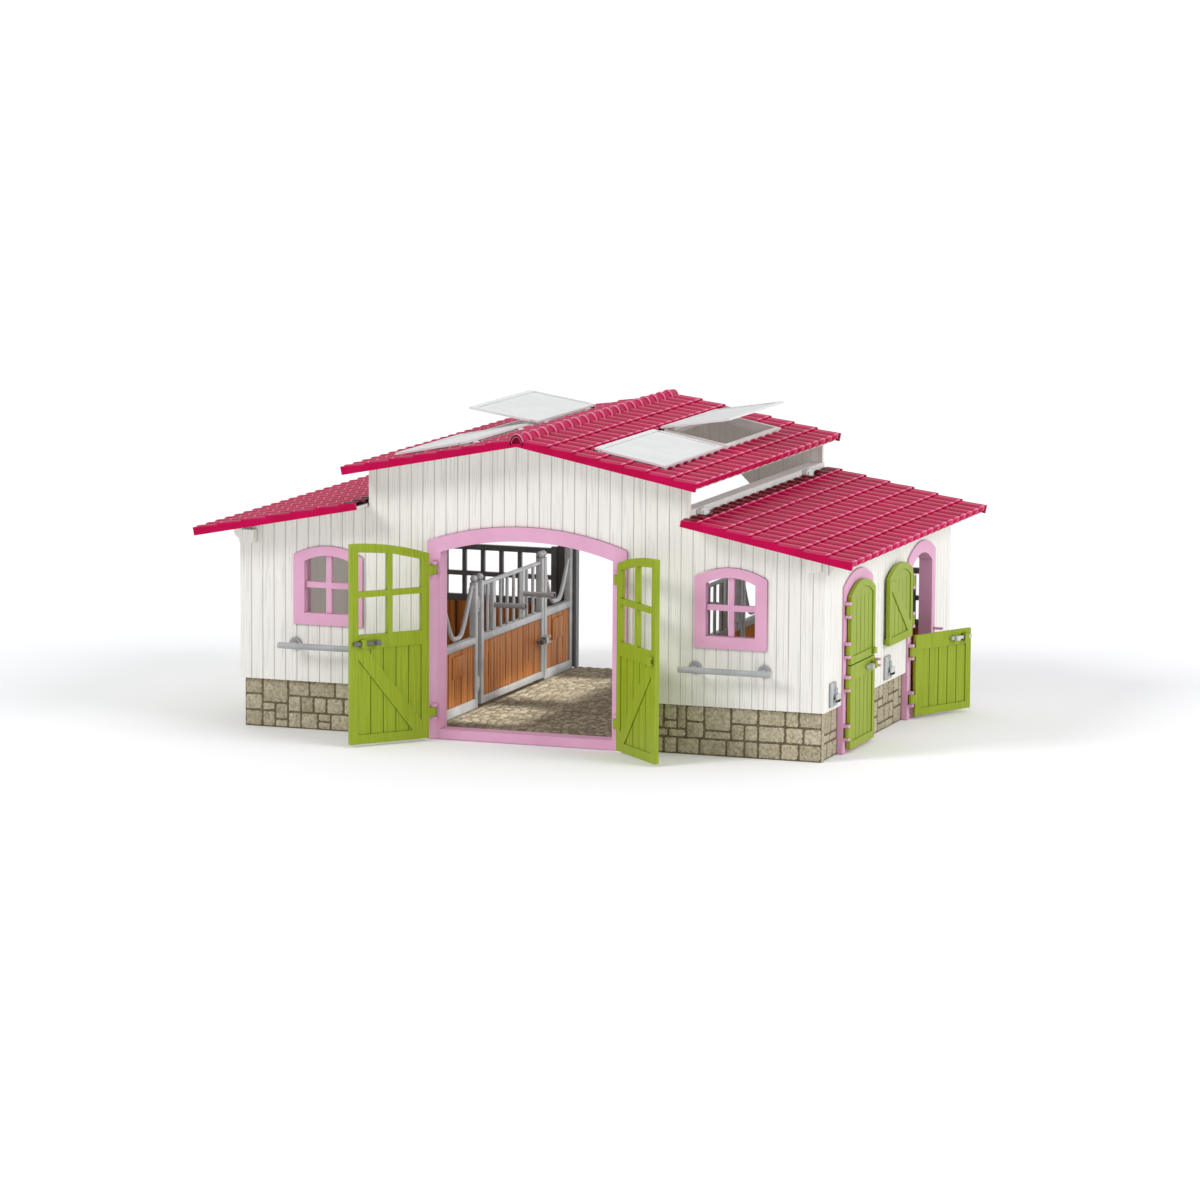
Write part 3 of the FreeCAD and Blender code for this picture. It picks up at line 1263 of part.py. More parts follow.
for name, sign in SIDES:
    x = sign * d.stall_x
    front_bay = (front + d.stall_front, axis_y - bay_gap - d.tube / 2)
    rear_bay = (front + d.gate_rear + d.tube / 2 + 0.5, rear - 11 - d.tube / 2)
    half_tube = d.tube / 2
    fixed = [feed_bay(x, front_bay[0], front_bay[1], d.floor_thick),
             feed_bay(x, rear_bay[0], rear_bay[1], d.floor_thick)]
    lugs = []
    for height in gate_hinges:
        low = height - d.knuckle_tall / 2 - 0.3
        high = height + d.knuckle_tall / 2 + 0.3
        for z in ((low - d.lug_tall, low), (high, high + d.lug_tall)):
            lugs.append(box((x - 2, x + 2), (front_bay[1] + half_tube - 0.5, axis_y + 2), z))
        lugs.append(pin("z", (x, axis_y), (low - 0.5, high + 0.5)))
    fixed[0] = fuse(fixed[0], *lugs)
    # Keeper of the gate latch, on the aisle side of the rear bay's first post
    keepers = []
    for way in (-1, 1):
        inner_z = gate_latch_z + way * (latch_half + latch_gap)
        keepers.append(box((x - sign * (latch_side - 0.5), x - sign * (latch_side + 4.5)),
                           (rear_bay[0] - 2, rear_bay[0] + 2), (inner_z, inner_z + way * 1.8)))
    fixed[1] = fuse(fixed[1], *keepers)
    node(group(*fixed), f"{name}_stall_panels")

    # Grille across the rear of the stalls, from the rear post to the side wall
    y = front + d.grille_y
    ends = (sign * (d.post_outer + 0.2), sign * (d.half_width - d.wall_thick - 8.5))
    inner, outer = (ends[0] if sign > 0 else ends[1]), (ends[1] if sign > 0 else ends[0])
    bars = []
    for z in ((d.floor_thick, d.board_low), (d.board_high, d.mid_rail_top),
              (d.top_rail - 2.5, d.top_rail + 2.5), (d.grille_rail - 2, d.grille_rail + 2)):
        bars.append(box((inner, outer), (y - 2.5, y + 2.5), z))
    for stile in (ends[0] + sign * 2.5, ends[1] - sign * 2.5):
        bars.append(box((stile - 2.5, stile + 2.5), (y - 2.5, y + 2.5), (d.floor_thick, d.top_rail + 4)))
    count = 8
    for index in range(1, count):
        bar_x = inner + (outer - inner) * (index / count)
        bars.append(box((bar_x - 1.8, bar_x + 1.8), (y - 1.8, y + 1.8), (d.mid_rail_top - 1, d.top_rail)))
    grilles.append(fuse(*bars))
    grille_boards = box((inner + 5, outer - 5), (y - 1.5, y + 1.5), (d.board_low, d.board_high))

    infills += [plank_panel(x, front_bay[0] + half_tube, front_bay[1] - half_tube, sign),
                plank_panel(x, rear_bay[0] + half_tube, rear_bay[1] - half_tube, sign),
                grille_boards]

    # Gate, made about its hinge axis: local y runs along the closed gate
    zero = as_size(0)
    near_post, far_post = as_size(gate_near + 3.0), gate_far - half_tube
    pieces = stall_post(zero, near_post, gate_low) + stall_post(zero, far_post, gate_low)
    span = (near_post + half_tube - 0.5, far_post - half_tube + 0.5)
    pieces.append(rail(zero, span, (gate_low, d.board_low), d.tube))
    pieces.append(rail(zero, span, (d.board_high, d.mid_rail_top), d.tube))
    pieces.append(rail(zero, span, (d.top_rail - 2, d.top_rail + 2), d.bar_size))
    bar_count = 9
    for index in range(1, bar_count):
        y = span[0] + (span[1] - span[0]) * (index / bar_count)
        half_bar = d.bar_size / 2
        pieces.append(rail(zero, (y - half_bar, y + half_bar), (d.mid_rail_top - 1, d.top_rail), d.bar_size))
    for share in (0.2, 0.7):
        y = span[0] + (span[1] - span[0]) * share
        pieces.append(box((-2, 2), (y - 3.5, y + 3.5), (d.mid_rail_top - 1, d.top_rail)))
        pieces.append(eight_sided("x", (y, d.arm_height), (0, -sign * (d.arm_long + 3)), d.arm_r))
        stop = (-sign * d.arm_long, -sign * (d.arm_long + 3))
        pieces.append(eight_sided("x", (y, d.arm_height), stop, d.arm_end_r))
    # Loop for the latch, on the aisle side of the free post
    half_z = latch_half + latch_gap
    loop_y = (gate_far - 5.5, gate_far - 1.0)
    loop = box((-sign * (latch_side - 0.4), -sign * (latch_side + 4.9)), loop_y,
               (gate_latch_z - half_z - 1.5, gate_latch_z + half_z + 1.5))
    loop_way = box((-sign * latch_side, -sign * (latch_side + 3.4)), (loop_y[0] - 1, loop_y[1] + 1),
                   (gate_latch_z - half_z, gate_latch_z + half_z))
    pieces.append(cut(loop, loop_way))
    bores = []
    for height in gate_hinges:
        block = (height - d.knuckle_tall / 2, height + d.knuckle_tall / 2)
        pieces.append(eight_sided("z", (0, 0), block, d.knuckle))
        pieces.append(box((-1.8, 1.8), (d.knuckle - 0.6, near_post - half_tube + 1), block))
        bores.append(bore("z", (0, 0), (block[0] - 1, block[1] + 1)))
    gate = cut(fuse(*pieces), *bores)
    place(gate, (x, axis_y, 0))
    node(gate, f"{name}_gate")
    boards = plank_panel(zero, span[0] + 0.5, span[1] - 0.5, sign)
    place(boards, (x, axis_y, d.board_low))
    node(boards, f"{name}_gate_boards")

    latch_low, latch_high = latch_side + latch_gap, latch_side + latch_gap + 2 * latch_half
    latch_bar = box((-sign * latch_low, -sign * latch_high), (gate_far - 19, gate_far - 0.3),
                    (gate_latch_z - latch_half, gate_latch_z + latch_half))
    latch_knob = box((-sign * (latch_high - 0.4), -sign * (latch_high + 3)), (gate_far - 18, gate_far - 14),
                     (gate_latch_z - latch_half - 0.6, gate_latch_z + latch_half + 0.6))
    latch = fuse(latch_bar, latch_knob)
    place(latch, (x, axis_y, 0))
    node(latch, f"{name}_gate_latch")

node(group(*infills), "stall_boards")
node(group(*grilles), "rear_grilles")

# Hitching rails: a round bar on two arms with rose plates

hitching_rails = []
for name, sign in SIDES:
    y = front - d.hitch_gap
    pieces = [eight_sided("x", (y, d.hitch_height), (sign * d.hitch_in, sign * d.hitch_out), d.hitch_r)]
    for x in (d.hitch_in + 10, d.hitch_out - 10):
        pieces.append(eight_sided("y", (sign * x, d.hitch_height), (y, front), d.hitch_r * 0.9))
        pieces.append(eight_sided("y", (sign * x, d.hitch_height), (front - 2, front), 5.5))
    hitching_rails.append(fuse(*pieces))
node(group(*hitching_rails), "hitching_rails")

# Tack brackets on the side walls: a plate with an upturned hook

brackets = []
for _, sign in SIDES:
    for middle in (front + 22, front + d.side_first + d.side_pitch / 2 - 6):
        low = as_size(45.0)
        face = d.half_width
        plate = box((sign * face, sign * (face + 1.6)), (middle - 8.5, middle + 8.5), (low, low + 20))
        shelf = box((sign * (face + 1), sign * (face + 6.4)), (middle - 5, middle + 5), (low + 4, low + 6.5))
        lip = box((sign * (face + 4.6), sign * (face + 6.4)), (middle - 5, middle + 5), (low + 4, low + 11))
        brackets.append(fuse(plate, shelf, lip))
node(group(*brackets), "tack_brackets")

# Check and write

doc.recompute()
faults = []
for thing in doc.Objects:
    if "Invalid" in thing.State or "Error" in thing.State:
        faults.append(f"{thing.Label}: {thing.State}")
for name, thing in made.items():
    if thing.Shape.isNull() or not thing.Shape.isValid() or not thing.Shape.Solids:
        faults.append(f"{name}: no valid solid")
if faults:
    raise RuntimeError("; ".join(faults))

os.makedirs("parts", exist_ok=True)
for name, thing in made.items():
    thing.Shape.exportStep(f"parts/{name}.step")
    bounds = thing.Shape.BoundBox
    print(f"{name}: {len(thing.Shape.Solids)} solids, {thing.Shape.Volume / 1000:.1f} cm3, "
          f"x {bounds.XMin:.1f}..{bounds.XMax:.1f} y {bounds.YMin:.1f}..{bounds.YMax:.1f} "
          f"z {bounds.ZMin:.1f}..{bounds.ZMax:.1f}")
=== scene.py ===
import json
import math
import random

import bmesh
import bpy
from mathutils import Matrix, Vector

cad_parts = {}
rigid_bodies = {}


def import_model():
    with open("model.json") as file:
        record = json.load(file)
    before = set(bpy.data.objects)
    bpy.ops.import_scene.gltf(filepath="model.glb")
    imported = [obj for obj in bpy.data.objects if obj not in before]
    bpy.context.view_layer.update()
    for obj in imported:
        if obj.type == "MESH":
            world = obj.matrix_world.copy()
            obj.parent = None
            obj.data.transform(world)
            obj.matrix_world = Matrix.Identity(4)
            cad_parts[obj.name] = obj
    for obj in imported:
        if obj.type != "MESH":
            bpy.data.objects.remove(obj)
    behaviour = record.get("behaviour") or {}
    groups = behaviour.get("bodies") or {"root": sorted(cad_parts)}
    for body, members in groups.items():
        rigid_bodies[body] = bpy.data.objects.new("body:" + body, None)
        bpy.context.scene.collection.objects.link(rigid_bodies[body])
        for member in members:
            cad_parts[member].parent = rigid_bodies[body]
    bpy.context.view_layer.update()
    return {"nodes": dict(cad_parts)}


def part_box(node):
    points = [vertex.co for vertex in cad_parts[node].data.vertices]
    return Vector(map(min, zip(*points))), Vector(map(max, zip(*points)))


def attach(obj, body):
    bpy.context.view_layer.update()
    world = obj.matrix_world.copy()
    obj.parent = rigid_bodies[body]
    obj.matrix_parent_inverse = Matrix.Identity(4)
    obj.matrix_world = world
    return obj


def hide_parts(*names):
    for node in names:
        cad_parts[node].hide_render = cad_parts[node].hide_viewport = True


# Toy stable, dressed for the picture. Shapes are written in millimetres; light and camera in metres.

for thing in list(bpy.data.objects):
    bpy.data.objects.remove(thing)

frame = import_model()
nodes = frame["nodes"]
MM = 0.001
SIDES = (("left", -1), ("right", 1))
PLACES = ("front", "rear")
rng = random.Random(7)

# Sizes shared with the frame, in millimetres
PITCH = math.radians(11.1)
RIDGE_UNDER = 256.2
LEAN_EDGE = 144.6
LEAN_UNDER = 196.15
ROOF_FRONT = -216.0
ROOF_REAR = 191.0
MAIN_NEAR = 4.8
MAIN_FAR = 160.5
LEAN_FAR = 152.0
LEAN_FIRST = 15.0
DECK_INSET = 2.8
VERGES = ((ROOF_FRONT, ROOF_FRONT + DECK_INSET), (ROOF_REAR, ROOF_REAR - DECK_INSET))
LIGHTS = (-108.0, 65.0)
LIGHT_NEAR = 53.1
LIGHT_FAR = 119.8
LIGHT_HALF = 75.3
LEAN_HINGES = (-159.02, 134.02)
HINGE_NEAR = -5.0
HINGE_FAR = 7.0
HINGE_HALF = 11.5

# Materials

# Painted shade in corners and grooves: a point counts as a corner below the first share of open room around
# it, as open above the second
SHELTERED = 0.25
OPEN = 0.85


def srgb(red, green, blue):
    """A colour given as 0 to 255 in display values, turned into scene values."""
    result = []
    for value in (red, green, blue):
        share = value / 255.0
        result.append(share / 12.92 if share <= 0.04045 else ((share + 0.055) / 1.055) ** 2.4)
    return (*result, 1.0)


class Surface:
    """A procedural material: colour, roughness and fine relief from noise in object space."""

    def __init__(self, name, rough, gloss):
        self.material = bpy.data.materials.new(name)
        self.material.use_nodes = True
        self.tree = self.material.node_tree
        self.shader = self.tree.nodes["Principled BSDF"]
        self.shader.inputs["Roughness"].default_value = rough
        self.shader.inputs["Specular IOR Level"].default_value = gloss
        self.place = self.add("ShaderNodeTexCoord").outputs["Object"]

    def add(self, kind):
        return self.tree.nodes.new(kind)

    def link(self, source, target):
        self.tree.links.new(source, target)

    def stretched(self, scale):
        """Object space, scaled along each axis."""
        mapping = self.add("ShaderNodeMapping")
        mapping.inputs["Scale"].default_value = scale
        self.link(self.place, mapping.inputs["Vector"])
        return mapping.outputs["Vector"]

    def noise(self, scale, detail, rough=0.55):
        texture = self.add("ShaderNodeTexNoise")
        texture.inputs["Scale"].default_value = 1.0
        texture.inputs["Detail"].default_value = detail
        texture.inputs["Roughness"].default_value = rough
        self.link(self.stretched(scale), texture.inputs["Vector"])
        return texture.outputs["Fac"]

    def ramp(self, source, stops):
        ramp = self.add("ShaderNodeValToRGB")
        band = ramp.color_ramp
        while len(band.elements) < len(stops):
            band.elements.new(0.5)
        for element, (position, colour) in zip(band.elements, stops):
            element.position = position
            element.color = colour
        self.link(source, ramp.inputs["Fac"])
        return ramp.outputs["Color"]

    def blend(self, kind, first, second):
        """Two colours in full; sockets 6 and 7 of the mix take colours, and output 2 gives one."""
        mix = self.add("ShaderNodeMix")
        mix.data_type = "RGBA"
        mix.blend_type = kind
        mix.inputs["Factor"].default_value = 1.0
        self.link(first, mix.inputs[6])
        self.link(second, mix.inputs[7])
        return mix.outputs[2]

    def colour(self, source, reach=0.0, dark=0.35):
        """Base colour; with a reach, painted shade darkens corners and grooves within it."""
        if reach > 0.0:
            source = self.blend("MULTIPLY", source, self.corner(reach, dark))
        self.link(source, self.shader.inputs["Base Color"])

    def corner(self, reach, dark):
        """Painted shade: white in the open, falling to dark in corners and grooves within reach."""
        occlusion = self.add("ShaderNodeAmbientOcclusion")
        occlusion.samples = 6
        occlusion.inputs["Distance"].default_value = reach
        stops = [(SHELTERED, (dark, dark, dark, 1.0)), (OPEN, (1.0, 1.0, 1.0, 1.0))]
        return self.ramp(occlusion.outputs["AO"], stops)

    def clouds(self, size, dark, light, detail=3.0):
        """Colour that drifts softly from dark to light."""
        cloud = self.noise((size, size, size), detail)
        return self.ramp(cloud, [(0.3, dark), (0.7, light)])

    def relief(self, source, strength, distance):
        bump = self.add("ShaderNodeBump")
        bump.inputs["Strength"].default_value = strength
        bump.inputs["Distance"].default_value = distance
        self.link(source, bump.inputs["Height"])
        self.link(bump.outputs["Normal"], self.shader.inputs["Normal"])

    def skin(self, strength):
        """The fine relief of a moulded surface."""
        self.relief(self.noise((900.0, 900.0, 900.0), 2.0), strength, 0.0003)

    def shade(self):
        """The mesh attribute named shade."""
        attribute = self.add("ShaderNodeAttribute")
        attribute.attribute_name = "shade"
        return attribute.outputs["Fac"]


def grained(name, dark, light, scale, rough, relief, gloss, groove_shade=0.35, band=(0.32, 0.62)):
    """Plastic moulded with a wood grain that runs along the small scale, with painted shade in grooves and
    corners; band is where dark turns light.
    """
    surface = Surface(name, rough, gloss)
    grain = surface.noise(scale, 4.0)
    surface.colour(surface.ramp(grain, [(band[0], dark), (band[1], light)]), 0.0025, groove_shade)
    surface.relief(grain, relief, 0.0004)
    return surface.material


def speckled(name, dark, light, size, rough, relief=0.05, gloss=0.4, metal=0.0):
    """Plain plastic with a slight cloudiness, painted shade in corners and a fine moulded skin."""
    surface = Surface(name, rough, gloss)
    surface.shader.inputs["Metallic"].default_value = metal
    surface.colour(surface.clouds(size, dark, light), 0.002)
    surface.skin(relief)
    return surface.material


def clear_white(name):
    """Milky plastic that lets a little light through, with painted shade in its recesses."""
    surface = Surface(name, 0.3, 0.5)
    face = surface.clouds(40.0, srgb(236, 238, 237), srgb(245, 246, 245), 2.0)
    surface.colour(face, 0.003, 0.55)
    surface.shader.inputs["Transmission Weight"].default_value = 0.06
    surface.shader.inputs["Subsurface Weight"].default_value = 0.3
    surface.shader.inputs["Subsurface Radius"].default_value = (0.002, 0.002, 0.002)
    return surface.material


def lipped(name, painted_shadow, valley, dark, light, lip):
    """Tile plastic with painted light and shade from the mesh attribute named shade.

    It runs from -2 for painted shadow in sheltered places over -1 for painted shade in the valleys and 0 on
    the faces to 1 for painted highlights on the lips, with a little of that highlight on the crests.
    """
    surface = Surface(name, 0.25, 0.07)
    face = surface.clouds(40.0, dark, light)
    place = surface.add("ShaderNodeMapRange")
    place.inputs["From Min"].default_value = -2.0
    surface.link(surface.shade(), place.inputs["Value"])
    grey = place.outputs["Result"]
    # Painted shadow and painted valley shade darken the face colour
    deep = surface.ramp(grey, [(0.0, painted_shadow), (0.333, valley), (0.667, srgb(255, 255, 255))])
    shaded = surface.blend("MULTIPLY", face, deep)
    # Painted highlights on the lips, and a little on the crests
    bright = surface.ramp(grey, [(0.667, srgb(0, 0, 0)), (1.0, lip)])
    surface.colour(surface.blend("SCREEN", shaded, bright))
    surface.skin(0.04)
    return surface.material


def rough_stone(name, dark, middle, light, low_tint, high_tint, grain, relief, gloss):
    """Stone with mottled faces, fine grit, one tint per block and painted shade in the joints."""
    surface = Surface(name, 0.7, gloss)
    mottle = surface.noise((grain, grain, grain), 6.0, 0.75)
    face = surface.ramp(mottle, [(0.3, dark), (0.5, middle), (0.72, light)])
    tint = surface.ramp(surface.shade(), [(0.0, low_tint), (1.0, high_tint)])
    surface.colour(surface.blend("MULTIPLY", face, tint), 0.0018, 0.25)
    surface.relief(mottle, 1.0, relief)
    return surface.material


wall_white = grained("white boards", srgb(222, 220, 215), srgb(241, 238, 232), (900.0, 900.0, 20.0),
                     rough=0.6, relief=0.45, gloss=0.2, groove_shade=0.45, band=(0.36, 0.46))
smooth_white = speckled("white plastic", srgb(226, 224, 221), srgb(238, 237, 234), 30.0,
                        rough=0.5, gloss=0.25)
pink = speckled("pale pink plastic", srgb(222, 164, 196), srgb(230, 176, 206), 25.0,
                rough=0.5, gloss=0.25)
green = grained("yellow green boards", srgb(133, 152, 12), srgb(151, 170, 24), (700.0, 700.0, 22.0),
                rough=0.45, relief=0.1, gloss=0.4)
silver = speckled("silver grey plastic", srgb(190, 192, 194), srgb(216, 219, 221), 60.0,
                  rough=0.32, relief=0.03, gloss=0.5, metal=0.1)
steel = speckled("dark grey plastic", srgb(100, 101, 103), srgb(116, 117, 119), 60.0, rough=0.4)
brown = grained("orange brown boards", srgb(164, 90, 36), srgb(220, 146, 78), (420.0, 420.0, 14.0),
                rough=0.5, relief=0.3, gloss=0.3, groove_shade=0.3)
arm_grey = speckled("mid grey plastic", srgb(160, 161, 163), srgb(182, 183, 185), 60.0, rough=0.35)
floor_tan = speckled("floor tan", srgb(150, 128, 96), srgb(182, 160, 126), 180.0, rough=0.8, relief=0.3)
# Colours: painted shadow, painted valley shade, the face from dark to light, painted lip highlight
crimson = lipped("crimson tile plastic", srgb(132, 44, 74), srgb(136, 54, 84), srgb(178, 0, 64),
                 srgb(196, 3, 80), srgb(240, 150, 180))
milky = clear_white("milky skylight plastic")
ashlar = rough_stone("grey tan ashlar", srgb(120, 112, 86), srgb(200, 191, 166), srgb(242, 236, 218),
                     srgb(226, 222, 212), srgb(255, 253, 248), grain=420.0, relief=0.0016, gloss=0.5)
cobble = rough_stone("tan cobbles", srgb(136, 127, 110), srgb(168, 160, 142), srgb(198, 191, 174),
                     srgb(190, 182, 168), srgb(255, 253, 248), grain=260.0, relief=0.0005, gloss=0.1)
# A dark sheet that stands for the shade inside the slits between boards: painted shade
slit_shade = speckled("dark slits", srgb(52, 24, 8), srgb(74, 36, 14), 200.0, rough=0.8)
mortar = speckled("dark joints", srgb(92, 82, 60), srgb(118, 107, 84), 220.0, rough=0.9, relief=0.3)

# Looks of the nodes that are shown as they come; the others get pieces of their own further down
LOOKS = {
    "floor_plate": floor_tan,
    "front_wall": wall_white,
    "left_wall": wall_white,
    "right_wall": wall_white,
    "main_door_frame": pink,
    "window_frames": pink,
    "rear_gable": wall_white,
    "rear_posts": steel,
    "rear_grilles": steel,
    "main_door_bolt": steel,
}
for side, sign in SIDES:
    LOOKS[f"{side}_main_door"] = green
    LOOKS[f"{side}_roof_deck"] = smooth_white
    LOOKS[f"{side}_skylight_curbs"] = smooth_white
    LOOKS[f"{side}_roof_rail"] = smooth_white
    LOOKS[f"{side}_lean_to_deck"] = smooth_white
    LOOKS[f"{side}_gate_latch"] = steel
    for place in PLACES:
        LOOKS[f"{side}_{place}_door_frame"] = pink
        LOOKS[f"{side}_{place}_lower_door"] = green
        LOOKS[f"{side}_{place}_upper_door"] = green
        LOOKS[f"{side}_{place}_door_bolt"] = silver
        LOOKS[f"{side}_{place}_skylight"] = milky

for name, look in LOOKS.items():
    slots = nodes[name].data.materials
    if len(slots) == 0:
        slots.append(look)
    for index in range(len(slots)):
        slots[index] = look

# Meshes

BOX_SIDES = ((0, 1, 3, 2), (4, 6, 7, 5), (2, 3, 7, 6), (0, 2, 6, 4), (1, 5, 7, 3))
BOX_FRONT = (0, 4, 5, 1)
FINE_BEVEL = 0.3


class Shape:
    """Points, faces and a tint per point, gathered into one mesh."""

    def __init__(self):
        self.points = []
        self.faces = []
        self.shades = []
        self.looks = []

    def point(self, at, shade=1.0):
        self.points.append(Vector(at))
        self.shades.append(shade)
        return len(self.points) - 1

    def face(self, corners, look=0):
        self.faces.append(corners)
        self.looks.append(look)

    def quad(self, a, b, c, d, shade=1.0, look=0):
        self.face([self.point(p, shade) for p in (a, b, c, d)], look)

    def grid(self, rows, shade=1.0, look=0, skip=None):
        """Faces over rows of points; shade may be rows of tints; skip(row, column) leaves a face out."""
        shades = shade if isinstance(shade, list) else [[shade] * len(row) for row in rows]
        marks = [[self.point(p, tint) for p, tint in zip(*pair)] for pair in zip(rows, shades)]
        for r in range(len(rows) - 1):
            for c in range(len(rows[0]) - 1):
                if skip is None or not skip(r, c):
                    self.face([marks[r][c], marks[r + 1][c], marks[r + 1][c + 1], marks[r][c + 1]], look)

    def prism(self, outline, outer, inner, shade):
        """A plate with an outline of (x, z) points between two depths."""
        for (xa, za), (xb, zb) in zip(outline, outline[1:] + outline[:1]):
            self.quad((xa, outer, za), (xb, outer, zb), (xb, inner, zb), (xa, inner, za), shade)
        for y in (outer, inner):
            self.face([self.point((x, y, z), shade) for x, z in outline])

    def block(self, low, high, look, front_look, turn=Matrix.Identity(4)):
        """A block with sharp edges, placed by turn; its front is the side at the lower y."""
        (x0, y0, z0), (x1, y1, z1) = low, high
        corners = [turn @ Vector((x, y, z)) for x in (x0, x1) for y in (y0, y1) for z in (z0, z1)]
        marks = [self.point(p, 0.5) for p in corners]
        for loop in BOX_SIDES:
            self.face([marks[i] for i in loop], look)
        self.face([marks[i] for i in BOX_FRONT], front_look)

    def soft_block(self, low, high, bevel=0.45, look=0):
        """A block with rounded edges."""
        low, high = Vector(low), Vector(high)
        small = Vector([min(a, b) for a, b in zip(low, high)])
        large = Vector([max(a, b) for a, b in zip(low, high)])
        work = bmesh.new()
        bmesh.ops.create_cube(work, size=1.0)
        for corner in work.verts:
            corner.co = Vector([s + (c + 0.5) * (b - s) for s, b, c in zip(small, large, corner.co)])
        bmesh.ops.bevel(work, geom=list(work.edges), offset=bevel, segments=2, affect="EDGES", profile=0.5)
        self.take(work, look)

    def ball(self, at, radius):
        work = bmesh.new()
        bmesh.ops.create_uvsphere(work, u_segments=16, v_segments=10, radius=radius)
        bmesh.ops.translate(work, verts=list(work.verts), vec=Vector(at))
        self.take(work, 0)

    def take(self, work, look):
        """Adds a finished mesh and frees it."""
        work.verts.index_update()
        first = len(self.points)
        for corner in work.verts:
            self.point(corner.co)
        for loop in work.faces:
            self.face([first + corner.index for corner in loop.verts], look)
        work.free()

    def tube(self, path, radius, sides=12, look=0):
        """A round bar along a path of points, with closed ends."""
        path = [Vector(p) for p in path]
        rings = []
        side = None
        for index, here in enumerate(path):
            before = path[max(index - 1, 0)]
            after = path[min(index + 1, len(path) - 1)]
            along = (after - before).normalized()
            if side is None:
                side = along.orthogonal().normalized()
            side = (side - along * side.dot(along)).normalized()
            other = along.cross(side)
            ring = []
            for step in range(sides + 1):
                turn = 2 * math.pi * step / sides
                ring.append(here + radius * (math.cos(turn) * side + math.sin(turn) * other))
            rings.append(ring)
        self.grid(rings, look=look)
        for ring in (rings[0], rings[-1]):
            self.face([self.point(p) for p in ring[:-1]], look)

    def build(self, name, looks, move=Matrix.Identity(4), angle=40.0):
        """Makes the object; edges sharper than the angle stay sharp."""
        mesh = bpy.data.meshes.new(name)
        mesh.from_pydata([move @ p * MM for p in self.points], [], self.faces)
        for look in looks:
            mesh.materials.append(look)
        mesh.polygons.foreach_set("material_index", self.looks)
        layer = mesh.attributes.new("shade", "FLOAT", "POINT")
        layer.data.foreach_set("value", self.shades)
        mesh.validate()
        mesh.update()
        piece = bpy.data.objects.new(name, mesh)
        bpy.context.scene.collection.objects.link(piece)
        mesh.polygons.foreach_set("use_smooth", [True] * len(mesh.polygons))
        mesh.set_sharp_from_angle(angle=math.radians(angle))
        return piece


# Roof tiles. A sheet is made flat: s runs down the slope, y along the building, z up from the deck.

COURSES = 7
TILE_COLUMNS = 20
ACROSS = 10
TILE_LOW = 3.2
TILE_STEP = 1.6
TILE_WAVE = 3.1
TUCK = 0.4
LIP_BOW = 3.8
EAVE_BOW = 2.6
LIP_WIDE = 1.6
# Where the painted highlight on a lip is brightest, and how far it reaches
LIP_BRIGHT = 0.58
LIP_REACH = 0.5
EDGE_NEAR = 0.3
EDGE_SINK = 0.12
EDGE_DROP = 0.5
EDGE_TALL = 0.4
EAVE_SCALLOP = 2.6
EAVE_LOW = 0.6
VERGE_RISE = 2.4
# Painted light on tile faces: highlight on the crests, shade strongest in the valleys
CREST_HIGHLIGHT = 0.3
VALLEY_POWER = 0.6
# Painted shadow on the upper course of each lean-to, under the main roof's eave
LEAN_SHADOW = 0.9


def hump(share):
    """Height of a roll across a tile, 0 in the valley and 1 on the crest."""
    return 1.0 - abs(2.0 * share - 1.0) ** 2.0


def painted_face_light(height, course_shadow):
    """Painted light on a tile's face: a painted highlight on the crest and painted shade, darkest in the
    valleys; a course's painted shadow darkens all of it.
    """
    return CREST_HIGHLIGHT - (1.0 + CREST_HIGHLIGHT) * (1.0 - height) ** VALLEY_POWER - course_shadow


def lip_highlight(share):
    """A painted highlight on the lip, bright on the rear flank of a tile's crest and fading out towards the
    valleys.
    """
    return 1.0 - min(1.0, abs(share - LIP_BRIGHT) / LIP_REACH)


def course_ends(near, far, first):
    """Where the courses of a slope begin and end; first is the length of the upper one."""
    others = COURSES - 1
    start = near + first
    return [near] + [start + (far - start) * index / others for index in range(others + 1)]


